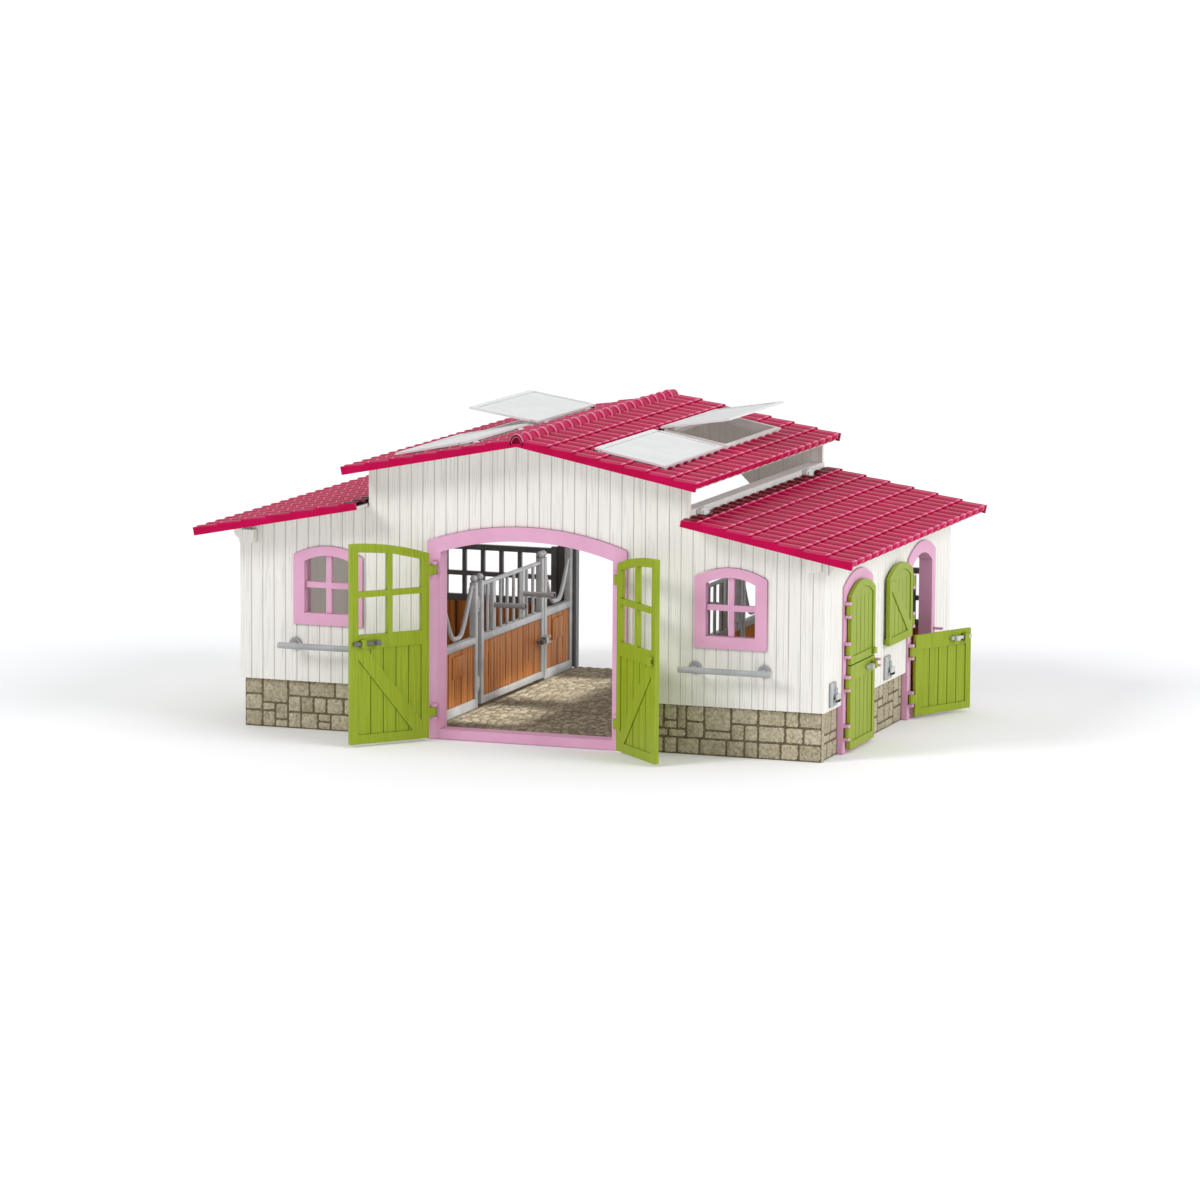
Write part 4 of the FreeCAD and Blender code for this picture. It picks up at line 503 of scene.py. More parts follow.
def tile_sheet(near, far, first, holes, painted_shadow):
    """Overlapping courses of round-backed tiles with bowed lower lips and painted light and shade; a
    painted shadow darkens the upper course.
    """
    shape = Shape()
    pitch = (ROOF_REAR - ROOF_FRONT) / TILE_COLUMNS
    places = [ROOF_FRONT + pitch * (i / ACROSS) for i in range(TILE_COLUMNS * ACROSS + 1)]
    for s0, s1, y0, y1 in holes:
        places += [y0, y1]
    places.sort()
    shares = [((y - ROOF_FRONT) / pitch + 1e-6) % 1.0 for y in places]
    across = [(y, hump(share)) for y, share in zip(places, shares)]
    lip_highlights = [lip_highlight(share) for share in shares]
    ends = course_ends(near, far, first)

    def inside(s, y):
        return any(s0 < s < s1 and y0 < y < y1 for s0, s1, y0, y1 in holes)

    for course in range(COURSES):
        start, end = ends[course], ends[course + 1]
        long = end - start
        lip = end - LIP_WIDE
        lowest = course == COURSES - 1
        tuck = start if course == 0 else start - LIP_BOW - TUCK
        reach = EAVE_BOW if lowest else LIP_BOW
        # Painted shadow only on the upper course
        course_shadow = painted_shadow if course == 0 else 0.0
        stops = [tuck, start + long * 0.35, start + long * 0.7, lip - 0.2, lip, end - EDGE_NEAR, end]
        for s0, s1, y0, y1 in holes:
            stops += [edge for edge in (s0, s1) if tuck < edge < lip - 0.3]
        stops.sort()
        rows = []
        shades = []
        for s in stops:
            # Painted highlights on the lips, painted light and shade on the faces
            shades.append(lip_highlights if s >= lip else [painted_face_light(h, course_shadow) for y, h in across])
            rise = TILE_STEP * (s - start) / long
            drop = 0.0
            if s == end:
                drop = EDGE_DROP
            elif s > lip:
                drop = EDGE_SINK
            row = []
            for y, h in across:
                bow = reach * (1.0 - h) * max(0.0, (s - start) / long)
                row.append(Vector((s - bow, y, TILE_LOW + rise + TILE_WAVE * h - drop)))
            rows.append(row)
        rows.append([Vector((p.x, p.y, p.z - EDGE_TALL)) for p in rows[-1]])
        if lowest:
            foot = [EAVE_SCALLOP * h + EAVE_LOW for y, h in across]
            rows.append([Vector((p.x, p.y, z)) for p, z in zip(rows[-1], foot)])
            rows.append([Vector((p.x - DECK_INSET + 0.2, p.y, p.z)) for p in rows[-1]])
        else:
            rows.append([Vector((p.x - 0.1, p.y, p.z - TILE_STEP)) for p in rows[-1]])
        shades += [[0.0] * len(across)] * (len(rows) - len(shades))
        middles = [[(rows[r][c] + rows[r + 1][c + 1]) / 2 for c in range(len(across) - 1)]
                   for r in range(len(rows) - 1)]
        shape.grid(rows, shades, skip=lambda r, c: inside(middles[r][c].x, middles[r][c].y))
    return shape


def add_lips(shape, near, far, first):
    """Verge plates that hang over the deck and step up with the courses."""
    ends = course_ends(near, far, first)
    low = TILE_LOW + VERGE_RISE
    for outer, inner in VERGES:
        for s0, s1 in zip(ends, ends[1:]):
            shape.prism([(s0, 0.0), (s1, 0.0), (s1, low + TILE_STEP), (s0, low)], outer, inner, 0.0)


def slope_frame(sign, base_x, base_z):
    """From a flat sheet to its slope: s down the slope, mirrored on the left."""
    return (Matrix.Translation((sign * base_x, 0.0, base_z))
            @ Matrix.Rotation(sign * PITCH, 4, "Y") @ Matrix.Diagonal((sign, 1.0, 1.0, 1.0)))


light_holes = [(LIGHT_NEAR, LIGHT_FAR, y - LIGHT_HALF, y + LIGHT_HALF) for y in LIGHTS]
hinge_holes = [(HINGE_NEAR, HINGE_FAR, y - HINGE_HALF, y + HINGE_HALF) for y in LEAN_HINGES]
even = (MAIN_FAR - MAIN_NEAR) / COURSES
for side, sign in SIDES:
    sheet = tile_sheet(MAIN_NEAR, MAIN_FAR, even, light_holes, 0.0)
    add_lips(sheet, MAIN_NEAR, MAIN_FAR, even)
    piece = sheet.build(f"{side}_roof_pantiles", [crimson], slope_frame(sign, 0.0, RIDGE_UNDER))
    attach(piece, "main_roof")
    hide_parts(f"{side}_roof_tiles")

    sheet = tile_sheet(0.0, LEAN_FAR, LEAN_FIRST, hinge_holes, LEAN_SHADOW)
    add_lips(sheet, 0.0, LEAN_FAR, LEAN_FIRST)
    piece = sheet.build(f"{side}_lean_to_pantiles", [crimson], slope_frame(sign, LEAN_EDGE, LEAN_UNDER))
    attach(piece, f"{side}_lean_to")
    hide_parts(f"{side}_lean_to_tiles")

# Ridge tiles: half-round, each with a raised lip at its front end

RIDGE_COUNT = 20
RIDGE_LOW = 258.9
RIDGE_HIGH = 267.0
RIDGE_HALF = 6.2
RIDGE_FOOT = 1.5
RIDGE_SIDES = 16
# Along one ridge tile: share of its length, size and tint; the tint is a painted highlight on the raised
# lip
RIDGE_STEPS = ((0.0, 0.80, 0.0), (0.0, 0.95, 0.7), (0.03, 0.99, 0.7), (0.10, 1.0, 0.3),
               (0.16, 0.985, 0.0), (0.20, 0.94, 0.0), (1.0, 0.84, 0.0))
# Painted highlight on the end rims and painted shade on the closing faces of the ends
RIM_HIGHLIGHT = 0.4
END_SHADE = -0.6
END_DEEP = 2.5


def ridge_ring(y, scale):
    """Half of an oval over the ridge at y."""
    ring = []
    for step in range(RIDGE_SIDES + 1):
        angle = math.pi * step / RIDGE_SIDES
        x = RIDGE_HALF * scale * math.cos(angle)
        z = RIDGE_LOW - RIDGE_FOOT + (RIDGE_HIGH - RIDGE_LOW + RIDGE_FOOT) * scale * math.sin(angle)
        ring.append(Vector((x, y, z)))
    return ring


def ring_tints(tints):
    """One tint for all points of each ring."""
    return [[tint] * (RIDGE_SIDES + 1) for tint in tints]


ridge = Shape()
ridge_pitch = (ROOF_REAR - ROOF_FRONT) / RIDGE_COUNT
for index in range(RIDGE_COUNT):
    start = ROOF_FRONT + ridge_pitch * index
    rings = [ridge_ring(start + ridge_pitch * along, scale) for along, scale, tint in RIDGE_STEPS]
    ridge.grid(rings, ring_tints([tint for along, scale, tint in RIDGE_STEPS]))
# The ends are closed a little way in, behind a rim with a painted highlight; painted shade darkens the
# closing faces
for y, outer, inward in ((ROOF_FRONT, 0.95, 1.0), (ROOF_REAR, 0.84, -1.0)):
    rings = [ridge_ring(y, outer), ridge_ring(y, 0.72), ridge_ring(y + END_DEEP * inward, 0.70)]
    ridge.grid(rings, ring_tints((RIM_HIGHLIGHT, RIM_HIGHLIGHT, END_SHADE)))
    ridge.face([ridge.point(p, END_SHADE) for p in rings[-1]])
# Small plates close the verges under the ridge ends
foot_half = MAIN_NEAR * math.cos(PITCH) + 0.2
foot_low = RIDGE_UNDER - foot_half * math.tan(PITCH)
outline = [(-foot_half, foot_low), (0.0, RIDGE_UNDER), (foot_half, foot_low),
           (foot_half, RIDGE_LOW), (-foot_half, RIDGE_LOW)]
for outer, inner in VERGES:
    ridge.prism(outline, outer, inner, 0.0)
piece = ridge.build("ridge_pantiles", [crimson])
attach(piece, "main_roof")
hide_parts("ridge_tiles")

# Stone plinths: blocks of uneven size with rough faces on a dark backing

PLINTH_TOP = 42.0
PLINTH_FRONT = -185.0
PLINTH_REAR = 188.0
PLINTH_FACE = 260.0
FLOOR_FRONT = -177.0
DOOR_EDGE = 89.6
SIDE_THICK = 7.5
SIDE_HALF = 41.95
DOORWAYS = (-97.0, 93.0)
BACKING = 1.1
STONE_DEEP = 1.3
STONE_ROWS = 6
STONE_CELL = 4.0
STONE_TALL = (1, 1, 2, 2, 2, 2, 2)
STONE_WIDE = (3, 4, 5, 6)
JOINT = 0.35
FACE_STEP = 2.0
FACE_SET = 0.15
FACE_ROUGH = 0.55
FACE_TILT = 0.25
EDGE_SET = 0.3
CORNER_CUT = 0.4
STRAY = 0.2


def stone_layout(long, tall):
    """Blocks of uneven size that fill a stretch: (u0, u1, z0, z1)."""
    columns = round(long / STONE_CELL)
    wide, high = long / columns, tall / STONE_ROWS
    free = {(column, row) for column in range(columns) for row in range(STONE_ROWS)}
    blocks = []
    while free:
        column, row = min(free, key=lambda cell: (cell[1], cell[0]))
        tall_cells = rng.choice(STONE_TALL)
        wide_cells = rng.choice(STONE_WIDE)
        across = 1
        while across < wide_cells and (column + across, row) in free:
            across += 1
        left_over = 0
        while (column + across + left_over, row) in free and left_over < 2:
            left_over += 1
        if left_over == 1:
            across += 1
        up = 1
        while up < tall_cells and all((column + i, row + up) in free for i in range(across)):
            up += 1
        if row + up == STONE_ROWS - 1 and all((column + i, row + up) in free for i in range(across)):
            up += 1
        free -= {(column + i, row + j) for i in range(across) for j in range(up)}
        blocks.append((column * wide, (column + across) * wide, row * high, (row + up) * high))
    return blocks


def rough_block(shape, block, long, turn):
    """One stone: a pillowed and uneven face with rounded edges; turn maps (u, v, z) to the frame."""
    u0, u1, z0, z1 = block
    start = u0 + JOINT if u0 > 0.1 else u0
    end = u1 - JOINT if u1 < long - 0.1 else u1
    shade = rng.random()
    across = max(4, int((u1 - u0) / FACE_STEP) + 2)
    up = max(4, int((z1 - z0) / FACE_STEP) + 2)
    tilt = rng.uniform(-FACE_TILT, FACE_TILT)
    rows = []
    for j in range(up + 1):
        row = []
        for i in range(across + 1):
            a = i / across
            b = j / up
            edge_u = min(i, across - i)
            edge_z = min(j, up - j)
            edge = min(edge_u, edge_z)
            u = start + (end - start) * a
            z = z0 + JOINT + (z1 - z0 - 2 * JOINT) * b
            v = FACE_SET + rng.uniform(0.0, FACE_ROUGH) + tilt * (a - 0.5)
            if edge == 1:
                v += EDGE_SET
            if edge == 0:
                v = STONE_DEEP
                if edge_u == 0 and edge_z == 0:
                    u += CORNER_CUT if i == 0 else -CORNER_CUT
                    z += CORNER_CUT if j == 0 else -CORNER_CUT
            else:
                u += rng.uniform(-STRAY, STRAY)
                z += rng.uniform(-STRAY, STRAY)
            row.append(turn @ Vector((u, max(v, 0.02), z)))
        rows.append(row)
    shape.grid(rows, shade)


def plinth_stretch(shape, long, thick, turn):
    """A backing with the dark of the joints at its front, and the stones before it."""
    shape.block((0.0, BACKING, 0.0), (long, thick, PLINTH_TOP - 0.3), 0, 1, turn)
    for block in stone_layout(long, PLINTH_TOP):
        rough_block(shape, block, long, turn)


def turned(at, angle):
    """A place, and a turn about the upright in degrees."""
    return Matrix.Translation(at) @ Matrix.Rotation(math.radians(angle), 4, "Z")


fronts = Shape()
flanks = Shape()
for side, sign in SIDES:
    start = DOOR_EDGE if sign > 0 else -PLINTH_FACE
    turn = turned((start, PLINTH_FRONT, 0.0), 0.0)
    plinth_stretch(fronts, PLINTH_FACE - DOOR_EDGE, FLOOR_FRONT - PLINTH_FRONT, turn)
    stops = [FLOOR_FRONT]
    for middle in DOORWAYS:
        stops += [middle - SIDE_HALF, middle + SIDE_HALF]
    stops.append(PLINTH_REAR)
    for low, high in zip(stops[0::2], stops[1::2]):
        if sign > 0:
            turn = turned((PLINTH_FACE, low, 0.0), 90.0)
        else:
            turn = turned((-PLINTH_FACE, high, 0.0), -90.0)
        plinth_stretch(flanks, high - low, SIDE_THICK, turn)
for shape, name in ((fronts, "front_plinths"), (flanks, "side_plinths")):
    piece = shape.build(f"rough_{name}", [ashlar, mortar], angle=60.0)
    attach(piece, "building")
    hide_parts(name)

# Cobbled aisle: small rounded setts in uneven rows

AISLE_RIM = 0.3
SETT_DEEP = (6.0, 8.0)
SETT_WIDE = (6.0, 9.5)
SETT_LEAST = 1.0
SETT_GAP = 0.2
SETT_UNEVEN = 0.35
SETT_STEPS = (0.0, 0.14, 0.5, 0.86, 1.0)
SETT_DROPS = (1.3, 0.35, 0.0)
SETT_ROUGH = 0.15


def sett(x, y, wide, deep, top):
    """Rows of points of one sett, highest in its middle."""
    last = len(SETT_STEPS) - 1
    rows = []
    for j, b in enumerate(SETT_STEPS):
        row = []
        for i, a in enumerate(SETT_STEPS):
            edge = min(i, last - i, j, last - j)
            drop = SETT_DROPS[edge] + rng.uniform(0.0, SETT_ROUGH)
            row.append(Vector((x + SETT_GAP + (wide - 2 * SETT_GAP) * a,
                               y + SETT_GAP + (deep - 2 * SETT_GAP) * b, top - drop)))
        rows.append(row)
    return rows


low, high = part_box("aisle_paving")
aisle = Shape()
x0, y0 = low.x / MM, low.y / MM
x1, y1 = high.x / MM, high.y / MM
top = high.z / MM
aisle.block((x0, y0, low.z / MM), (x1, y1, top - 1.0), 1, 1)
y = y0 + AISLE_RIM
while y < y1 - SETT_LEAST:
    deep = min(rng.uniform(*SETT_DEEP), y1 - AISLE_RIM - y)
    x = x0 + AISLE_RIM
    while x < x1 - SETT_LEAST:
        wide = min(rng.uniform(*SETT_WIDE), x1 - AISLE_RIM - x)
        shade = rng.random()
        height = top - rng.uniform(0.0, SETT_UNEVEN)
        aisle.grid(sett(x, y, wide, deep, height), shade)
        x += wide
    y += deep
piece = aisle.build("cobbled_aisle", [cobble, mortar], angle=70.0)
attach(piece, "building")
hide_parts("aisle_paving")

# Stall fronts and gates: square posts with ball tops, round bars and tubes

STALL_X = 94.0
TUBE = 3.0
SEAT = 0.5
POST_HIGH = 118.0
NECK = 1.9
FINIAL = 3.3
TOP_RAIL = 114.0
BAR = 1.7
BOARD_LOW = 15.5
MID_RAIL = (64.0, 70.0)
BAY_LOW = 3.0
FRONT_BAY = (-151.0, -68.0)
REAR_BAY = (106.5, 174.0)
FEED_GAP = ((0.0, 74.0), (9.0, 74.0), (17.0, 82.0), (33.0, 109.0), (35.0, TOP_RAIL))
GATE_LOW = 9.2
GATE_AXIS = -61.0
GATE_POSTS = (GATE_AXIS + 7.5, GATE_AXIS + 160.0)
GATE_BARS = 8
GATE_HINGES = (28.0, 98.0)
KNUCKLE = 2.35
KNUCKLE_HALF = 4.0
KNUCKLE_SIDES = 16
PIN = 1.3
PIN_PLAY = 0.06
LUG_NEAR = 4.3
LUG_THICK = 2.4
LUG_HALF = 2.0
WEB_HALF = 1.8
ARM_PLACES = (0.2, 0.7)
ARM_HEIGHT = 92.0
ARM_LONG = 31.0
ARM_HALF = 2.3
CAP_START = 28.0
CAP_HALF = 3.2
ARM_PLATE = (2.0, 3.5)
LATCH_HEIGHT = 44.0
LATCH_HALF = 1.7
KEEPER_OUT = (2.5, 7.5)
KEEPER_HIGH = 3.5
LOOP_ALONG = (GATE_AXIS + 157.5, GATE_AXIS + 162.0)
LOOP_OUT = (2.6, 7.0)
LOOP_FACE = (6.4, 7.9)
LOOP_HIGH = 3.2


def smooth_path(points, steps=6):
    """A curve through points, rounded between the middles of its stretches."""
    points = [Vector(p) for p in points]
    curve = [points[0]]
    for before, corner, after in zip(points, points[1:], points[2:]):
        start = (before + corner) / 2
        end = (corner + after) / 2
        for step in range(steps + 1):
            t = step / steps
            curve.append((1 - t) ** 2 * start + 2 * t * (1 - t) * corner + t * t * end)
    curve.append(points[-1])
    return curve


def post(shape, x, y, low):
    """A square post with a ball on a short neck."""
    shape.soft_block((x - TUBE, y - TUBE, low), (x + TUBE, y + TUBE, POST_HIGH))
    shape.tube([(x, y, POST_HIGH - 0.4), (x, y, POST_HIGH + 1.0)], NECK)
    shape.ball((x, y, POST_HIGH + FINIAL - 0.3), FINIAL)


def rails(shape, x, y0, y1, low):
    """Foot rail and the rail over the boards."""
    shape.soft_block((x - TUBE, y0, low), (x + TUBE, y1, BOARD_LOW))
    shape.soft_block((x - TUBE, y0, MID_RAIL[0]), (x + TUBE, y1, MID_RAIL[1]))


def feed_bay(shape, x, y0, y1):
    """A bay whose top tube dips in a V with a round foot."""
    post(shape, x, y0, BAY_LOW)
    post(shape, x, y1, BAY_LOW)
    start, end = y0 + TUBE - SEAT, y1 - TUBE + SEAT
    rails(shape, x, start, end, BAY_LOW)
    middle = (y0 + y1) / 2
    right_leg = [(x, middle + out, z) for out, z in FEED_GAP] + [(x, end, TOP_RAIL)]
    left_leg = [(x, middle - out, z) for out, z in FEED_GAP] + [(x, start, TOP_RAIL)]
    shape.tube(smooth_path(left_leg[:0:-1] + right_leg), BAR + 0.25)


def hinge_lugs(shape, x):
    """Pairs of lugs on the front bay's rear post, with the pins that carry the gate."""
    for height in GATE_HINGES:
        low, high = height - LUG_NEAR, height + LUG_NEAR
        for z0, z1 in ((low - LUG_THICK, low), (high, high + LUG_THICK)):
            shape.soft_block((x - LUG_HALF, FRONT_BAY[1] + TUBE - SEAT, z0),
                             (x + LUG_HALF, GATE_AXIS + LUG_HALF, z1), FINE_BEVEL)
        shape.tube([(x, GATE_AXIS, low - SEAT), (x, GATE_AXIS, high + SEAT)], PIN)


def circle(radius):
    """Points of a circle, the first one again at its end."""
    turns = [2 * math.pi * step / KNUCKLE_SIDES for step in range(KNUCKLE_SIDES + 1)]
    return [(radius * math.cos(turn), radius * math.sin(turn)) for turn in turns]


def knuckles(shape, x):
    """Bored knuckles of a gate, each with a web to the gate's first post."""
    inner, outer = circle(PIN + PIN_PLAY), circle(KNUCKLE)
    low, high = -KNUCKLE_HALF, KNUCKLE_HALF
    section = ((inner, low), (outer, low), (outer, high), (inner, high), (inner, low))
    for height in GATE_HINGES:
        shape.grid([[(x + a, GATE_AXIS + b, height + z) for a, b in loop] for loop, z in section])
        shape.soft_block((x - WEB_HALF, GATE_AXIS + KNUCKLE - 0.6, height + low),
                         (x + WEB_HALF, GATE_POSTS[0] - TUBE + 1.0, height + high), FINE_BEVEL)


def latch_ways(shape, x, sign, out, along, high):
    """A bar under and a bar over the way of a gate's latch."""
    for way in (-1, 1):
        shape.soft_block((x - sign * out[0], along[0], LATCH_HEIGHT + way * LATCH_HALF),
                         (x - sign * out[1], along[1], LATCH_HEIGHT + way * high), FINE_BEVEL)


def saddle_arms(shape, x, sign, y0, y1):
    """Two plates between the bars, each with a round arm that ends in a cap."""
    for share in ARM_PLACES:
        y = y0 + (y1 - y0) * share
        half, side = ARM_PLATE
        shape.soft_block((x - half, y - side, MID_RAIL[1] - 1.0), (x + half, y + side, TOP_RAIL))
        end = (x - sign * ARM_LONG, y, ARM_HEIGHT)
        shape.tube([(x, y, ARM_HEIGHT), end], ARM_HALF, look=1)
        shape.tube([(x - sign * CAP_START, y, ARM_HEIGHT), end], CAP_HALF, look=1)


for side, sign in SIDES:
    x = sign * STALL_X
    panels = Shape()
    feed_bay(panels, x, *FRONT_BAY)
    feed_bay(panels, x, *REAR_BAY)
    hinge_lugs(panels, x)
    latch_ways(panels, x, sign, KEEPER_OUT, (REAR_BAY[0] - 2.0, REAR_BAY[0] + 2.0), KEEPER_HIGH)
    piece = panels.build(f"{side}_stall_front", [silver])
    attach(piece, "building")
    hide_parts(f"{side}_stall_panels")

    gate = Shape()
    near, far = GATE_POSTS
    post(gate, x, near, GATE_LOW)
    post(gate, x, far, GATE_LOW)
    y0, y1 = near + TUBE - SEAT, far - TUBE + SEAT
    rails(gate, x, y0, y1, GATE_LOW)
    gate.tube([(x, y0, TOP_RAIL), (x, y1, TOP_RAIL)], BAR + 0.2)
    for index in range(1, GATE_BARS + 1):
        y = y0 + (y1 - y0) * index / (GATE_BARS + 1)
        gate.tube([(x, y, MID_RAIL[1] - SEAT), (x, y, TOP_RAIL)], BAR - 0.2)
    saddle_arms(gate, x, sign, y0, y1)
    gate.soft_block((x - sign * LOOP_FACE[0], LOOP_ALONG[0], LATCH_HEIGHT - LOOP_HIGH),
                    (x - sign * LOOP_FACE[1], LOOP_ALONG[1], LATCH_HEIGHT + LOOP_HIGH), FINE_BEVEL)
    latch_ways(gate, x, sign, LOOP_OUT, LOOP_ALONG, LOOP_HIGH)
    knuckles(gate, x)
    piece = gate.build(f"{side}_barred_gate", [silver, arm_grey])
    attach(piece, f"{side}_stall_gate")
    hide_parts(f"{side}_gate")

# Upright boards of the stall fronts, gates and rear grilles, with dark sheets of painted shade in the slits
# between some of them

GRILLE_IN = 101.0
GRILLE_OUT = 247.0
GRILLE_Y = 174.0
BOARD_HIGH = 64.0
BOARD_HALF = 1.5
BOARD_WIDE = 15.0
BOARD_GAP = 0.3
BOARD_SOFT = 0.9
BOARD_LIFT = 0.15
SLIT_HALF = 0.95
SLIT_IN = 0.2
SLIT_LOW = (0.0, 0.0, 6.0, 14.0)
SLIT_HIGH = (0.0, 0.0, 5.0, 12.0)
CORE_OUT = 1.0
PLATE_HALF = 14.0
PLATE_LOW = 40.0
PLATE_HIGH = 59.0
PLATE_OUT = 2.3


def planks(shape, start, end, turn):
    """Boards from start to end; turn maps (along, out, up) to the frame, the shown side facing out."""
    count = round((end - start) / BOARD_WIDE)
    pitch = (end - start) / count
    for index in range(count):
        u0, u1 = start + pitch * index, start + pitch * (index + 1)
        out = BOARD_HALF + rng.uniform(-BOARD_LIFT, 0.0)
        section = [(u0 + BOARD_GAP, BOARD_SOFT), (u0 + BOARD_SOFT, out),
                   (u1 - BOARD_SOFT, out), (u1 - BOARD_GAP, BOARD_SOFT)]
        rows = [[turn @ Vector((u, v, z)) for u, v in section] for z in (BOARD_LOW, BOARD_HIGH)]
        shape.grid(rows, rng.random())
        if index > 0:
            low = BOARD_LOW + rng.choice(SLIT_LOW)
            high = BOARD_HIGH - rng.choice(SLIT_HIGH)
            left, right = u0 - SLIT_HALF, u0 + SLIT_HALF
            corners = ((left, low), (right, low), (right, high), (left, high))
            # A dark sheet a little in from the board faces: painted shade in the slit
            shape.quad(*[turn @ Vector((u, BOARD_HALF - SLIT_IN, z)) for u, z in corners], 0.5, 1)
    shape.block((start, -BOARD_HALF, BOARD_LOW), (end, CORE_OUT, BOARD_HIGH), 0, 0, turn)


bays = Shape()
for side, sign in SIDES:
    x = sign * STALL_X
    facing = Matrix(((0, -sign, 0, x), (1, 0, 0, 0), (0, 0, 1, 0), (0, 0, 0, 1)))
    for low, high in (FRONT_BAY, REAR_BAY):
        planks(bays, low + TUBE, high - TUBE, facing)
        middle = (low + high) / 2
        plate = [(middle - PLATE_HALF, CORE_OUT, PLATE_LOW), (middle + PLATE_HALF, PLATE_OUT, PLATE_HIGH)]
        bays.soft_block(*[facing @ Vector(corner) for corner in plate], FINE_BEVEL)
    across = Matrix(((1, 0, 0, 0), (0, -1, 0, GRILLE_Y), (0, 0, 1, 0), (0, 0, 0, 1)))
    ends = sorted((sign * GRILLE_IN, sign * GRILLE_OUT))
    planks(bays, *ends, across)
    leaf = Shape()
    near, far = GATE_POSTS
    planks(leaf, near + TUBE + SEAT, far - TUBE - SEAT, facing)
    piece = leaf.build(f"{side}_gate_planks", [brown, slit_shade])
    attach(piece, f"{side}_stall_gate")
    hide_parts(f"{side}_gate_boards")
piece = bays.build("stall_planks", [brown, slit_shade])
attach(piece, "building")
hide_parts("stall_boards")

# Hitching rails: a round bar on two arms with rose plates

HITCH_IN = 140.3
HITCH_OUT = 221.2
HITCH_HEIGHT = 74.5
HITCH_Y = -203.3
HITCH_R = 2.65
HITCH_END = 10.0
ROSE_THICK = 2.0
ROSE_R = 5.4
WALL_FACE = -188.0


def hitch_bar(shape, start, end, radius, sides):
    """A round bar between two (x, y) points at the height of the hitching rails."""
    shape.tube([(*start, HITCH_HEIGHT), (*end, HITCH_HEIGHT)], radius, sides)


hitching = Shape()
for side, sign in SIDES:
    hitch_bar(hitching, (sign * HITCH_IN, HITCH_Y), (sign * HITCH_OUT, HITCH_Y), HITCH_R, 20)
    for x in (sign * (HITCH_IN + HITCH_END), sign * (HITCH_OUT - HITCH_END)):
        hitch_bar(hitching, (x, HITCH_Y), (x, WALL_FACE), HITCH_R * 0.85, 16)
        hitch_bar(hitching, (x, WALL_FACE - ROSE_THICK), (x, WALL_FACE), ROSE_R, 24)
piece = hitching.build("round_hitching_rails", [arm_grey])
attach(piece, "building")
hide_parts("hitching_rails")

# Tack brackets: a plate with upright ribs and an upturned hook

SIDE_FACE = 263.0
BRACKETS = (-166.0, -8.0)
BRACKET_LOW = 45.0
RIBS = ((-7.4, 20.0), (-3.9, 17.0), (-0.4, 12.0), (3.1, 15.0), (6.6, 15.0))
RIB_OUT = (1.0, 3.2)
RIB_HALF = 0.9
RIB_LOW = 0.3
# Ranges out from the wall, along it and up, and the look
BRACKET_PARTS = [((0.0, 1.4), (-8.5, 8.5), (0.0, 20.0), 1)]
for along, tall in RIBS:
    BRACKET_PARTS.append((RIB_OUT, (along - RIB_HALF, along + RIB_HALF), (RIB_LOW, tall), 0))
BRACKET_PARTS.append(((1.0, 6.4), (-5.0, 5.0), (4.0, 6.5), 0))
BRACKET_PARTS.append(((4.6, 6.4), (-5.0, 5.0), (4.0, 11.0), 0))

tack = Shape()
for side, sign in SIDES:
    for middle in BRACKETS:
        for *ranges, look in BRACKET_PARTS:
            low, high = [(sign * (SIDE_FACE + out), middle + along, BRACKET_LOW + up)
                         for out, along, up in zip(*ranges)]
            tack.soft_block(low, high, FINE_BEVEL, look)
piece = tack.build("ribbed_tack_brackets", [silver, arm_grey])
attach(piece, "building")
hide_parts("tack_brackets")

# Floor, light and camera

floor_surface = Surface("studio floor", 0.9, 0.1)
floor_surface.colour(floor_surface.clouds(3.0, srgb(252, 252, 253), srgb(254, 254, 255), 2.0))
bpy.ops.mesh.primitive_plane_add(size=160.0, location=(0.0, 0.0, -0.0002))
studio = bpy.context.object
studio.name = "studio_floor"
studio.data.materials.append(floor_surface.material)

world = bpy.data.worlds.new("studio")
bpy.context.scene.world = world
world.use_nodes = True
world.node_tree.nodes["Background"].inputs["Color"].default_value = (0.97, 0.985, 1.0, 1.0)
world.node_tree.nodes["Background"].inputs["Strength"].default_value = 0.48


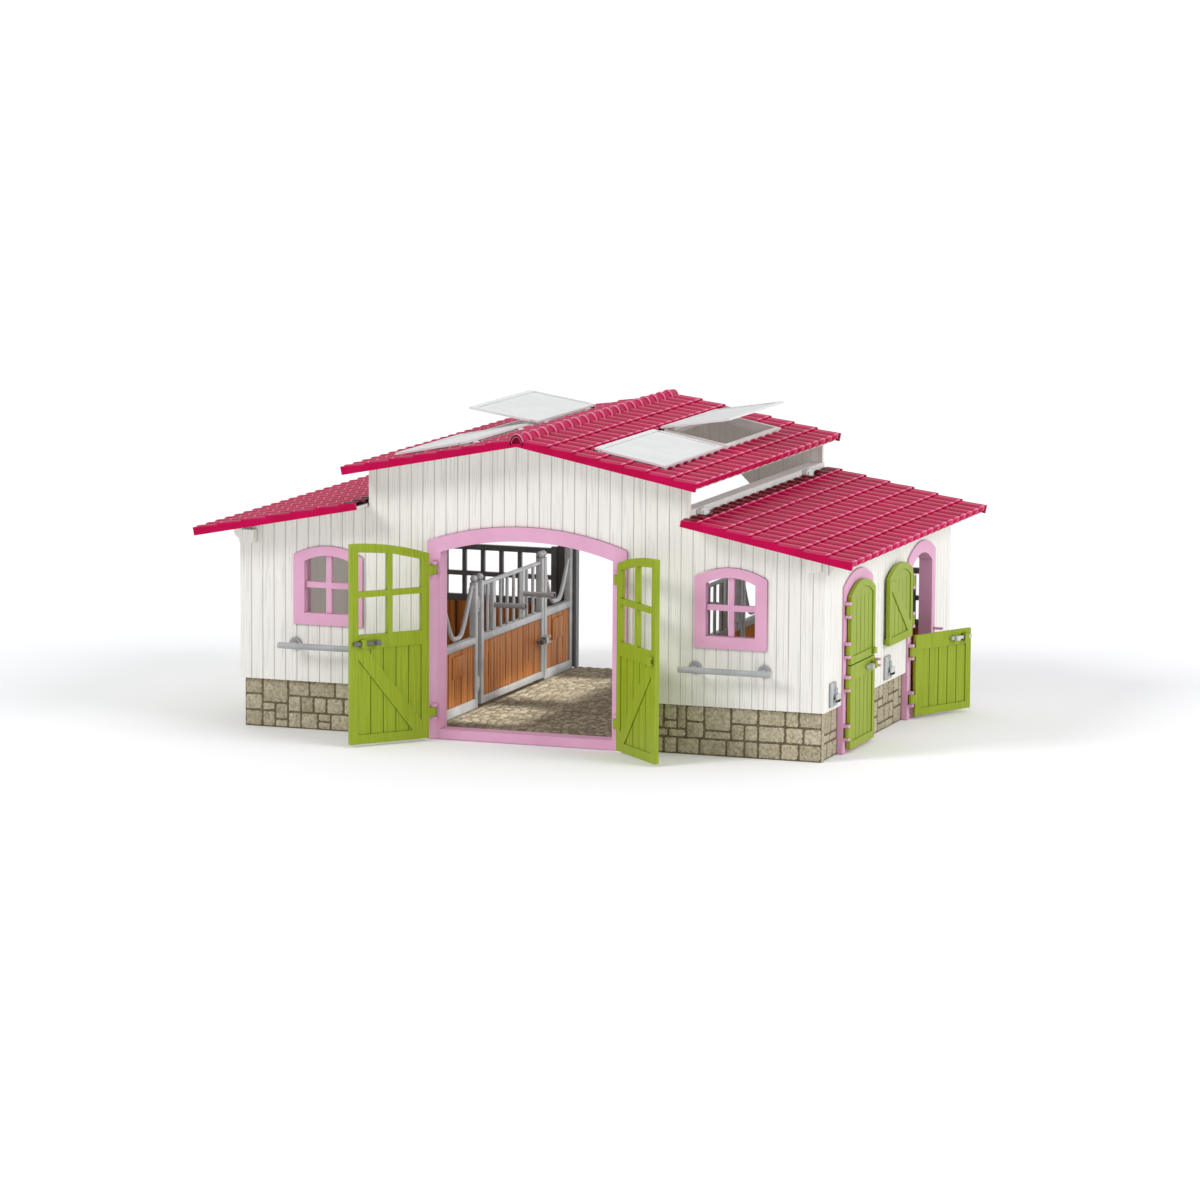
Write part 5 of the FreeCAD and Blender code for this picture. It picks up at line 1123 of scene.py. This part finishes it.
def beam(name, at, target, size, spread, power):
    """A panel of light that lies along the depth of the building, out of the camera's sight."""
    data = bpy.data.lights.new(name, "AREA")
    data.shape = "RECTANGLE"
    data.size, data.size_y = size
    data.spread = math.radians(spread)
    data.energy = power
    lamp = bpy.data.objects.new(name, data)
    bpy.context.scene.collection.objects.link(lamp)
    back = (Vector(at) - Vector(target)).normalized()
    along = Vector((0.0, 1.0, 0.0))
    along = (along - back * along.dot(back)).normalized()
    turn = Matrix((along.cross(back), along, back)).transposed().to_4x4()
    lamp.matrix_world = Matrix.Translation(at) @ turn
    lamp.visible_camera = False


def far_light(name, toward, spread, power):
    """Even light from one side; toward points from the object to the light."""
    data = bpy.data.lights.new(name, "SUN")
    data.angle = math.radians(spread)
    data.energy = power
    lamp = bpy.data.objects.new(name, data)
    bpy.context.scene.collection.objects.link(lamp)
    lamp.rotation_euler = Vector(toward).to_track_quat("Z", "Y").to_euler()


far_light("left front", (-0.55, -0.62, 0.56), spread=20.0, power=1.22)
far_light("right side", (0.88, -0.12, 0.46), spread=36.0, power=1.4)
far_light("top", (0.05, 0.50, 0.86), spread=60.0, power=0.68)
# Light that falls through the skylights into the aisle
for middle, long in ((-92.0, 90.0), (62.0, 130.0)):
    beam(f"skylight {middle:.0f}", (0.085, middle * MM, 0.226), (-0.066, (middle - 4.0) * MM, 0.0),
         size=(0.055, long * MM), spread=8.0, power=0.00028 * long)
beam("fill", (0.07, 0.0, 0.21), (-0.094, 0.0, 0.05), size=(0.05, 0.30), spread=110.0, power=0.11)

CAMERA_AT = (1.61024, -4.53773, 0.78974)
CAMERA_AHEAD = (-0.33133, 0.93275, -0.14214)
YAW = 0.3413
ROLL = 0.0063
forward = Vector(CAMERA_AHEAD).normalized()
right = Vector((math.cos(YAW), math.sin(YAW), 0.0))
up = right.cross(forward)
camera_x = math.cos(ROLL) * right + math.sin(ROLL) * up
camera_y = -math.sin(ROLL) * right + math.cos(ROLL) * up
lens = bpy.data.cameras.new("camera")
lens.lens = 166.59
lens.sensor_width = 36.0
lens.clip_end = 300.0
camera = bpy.data.objects.new("camera", lens)
bpy.context.scene.collection.objects.link(camera)
turn = Matrix((camera_x, camera_y, -forward)).transposed().to_4x4()
camera.matrix_world = Matrix.Translation(CAMERA_AT) @ turn
bpy.context.scene.camera = camera
bpy.context.scene.view_settings.view_transform = "Standard"
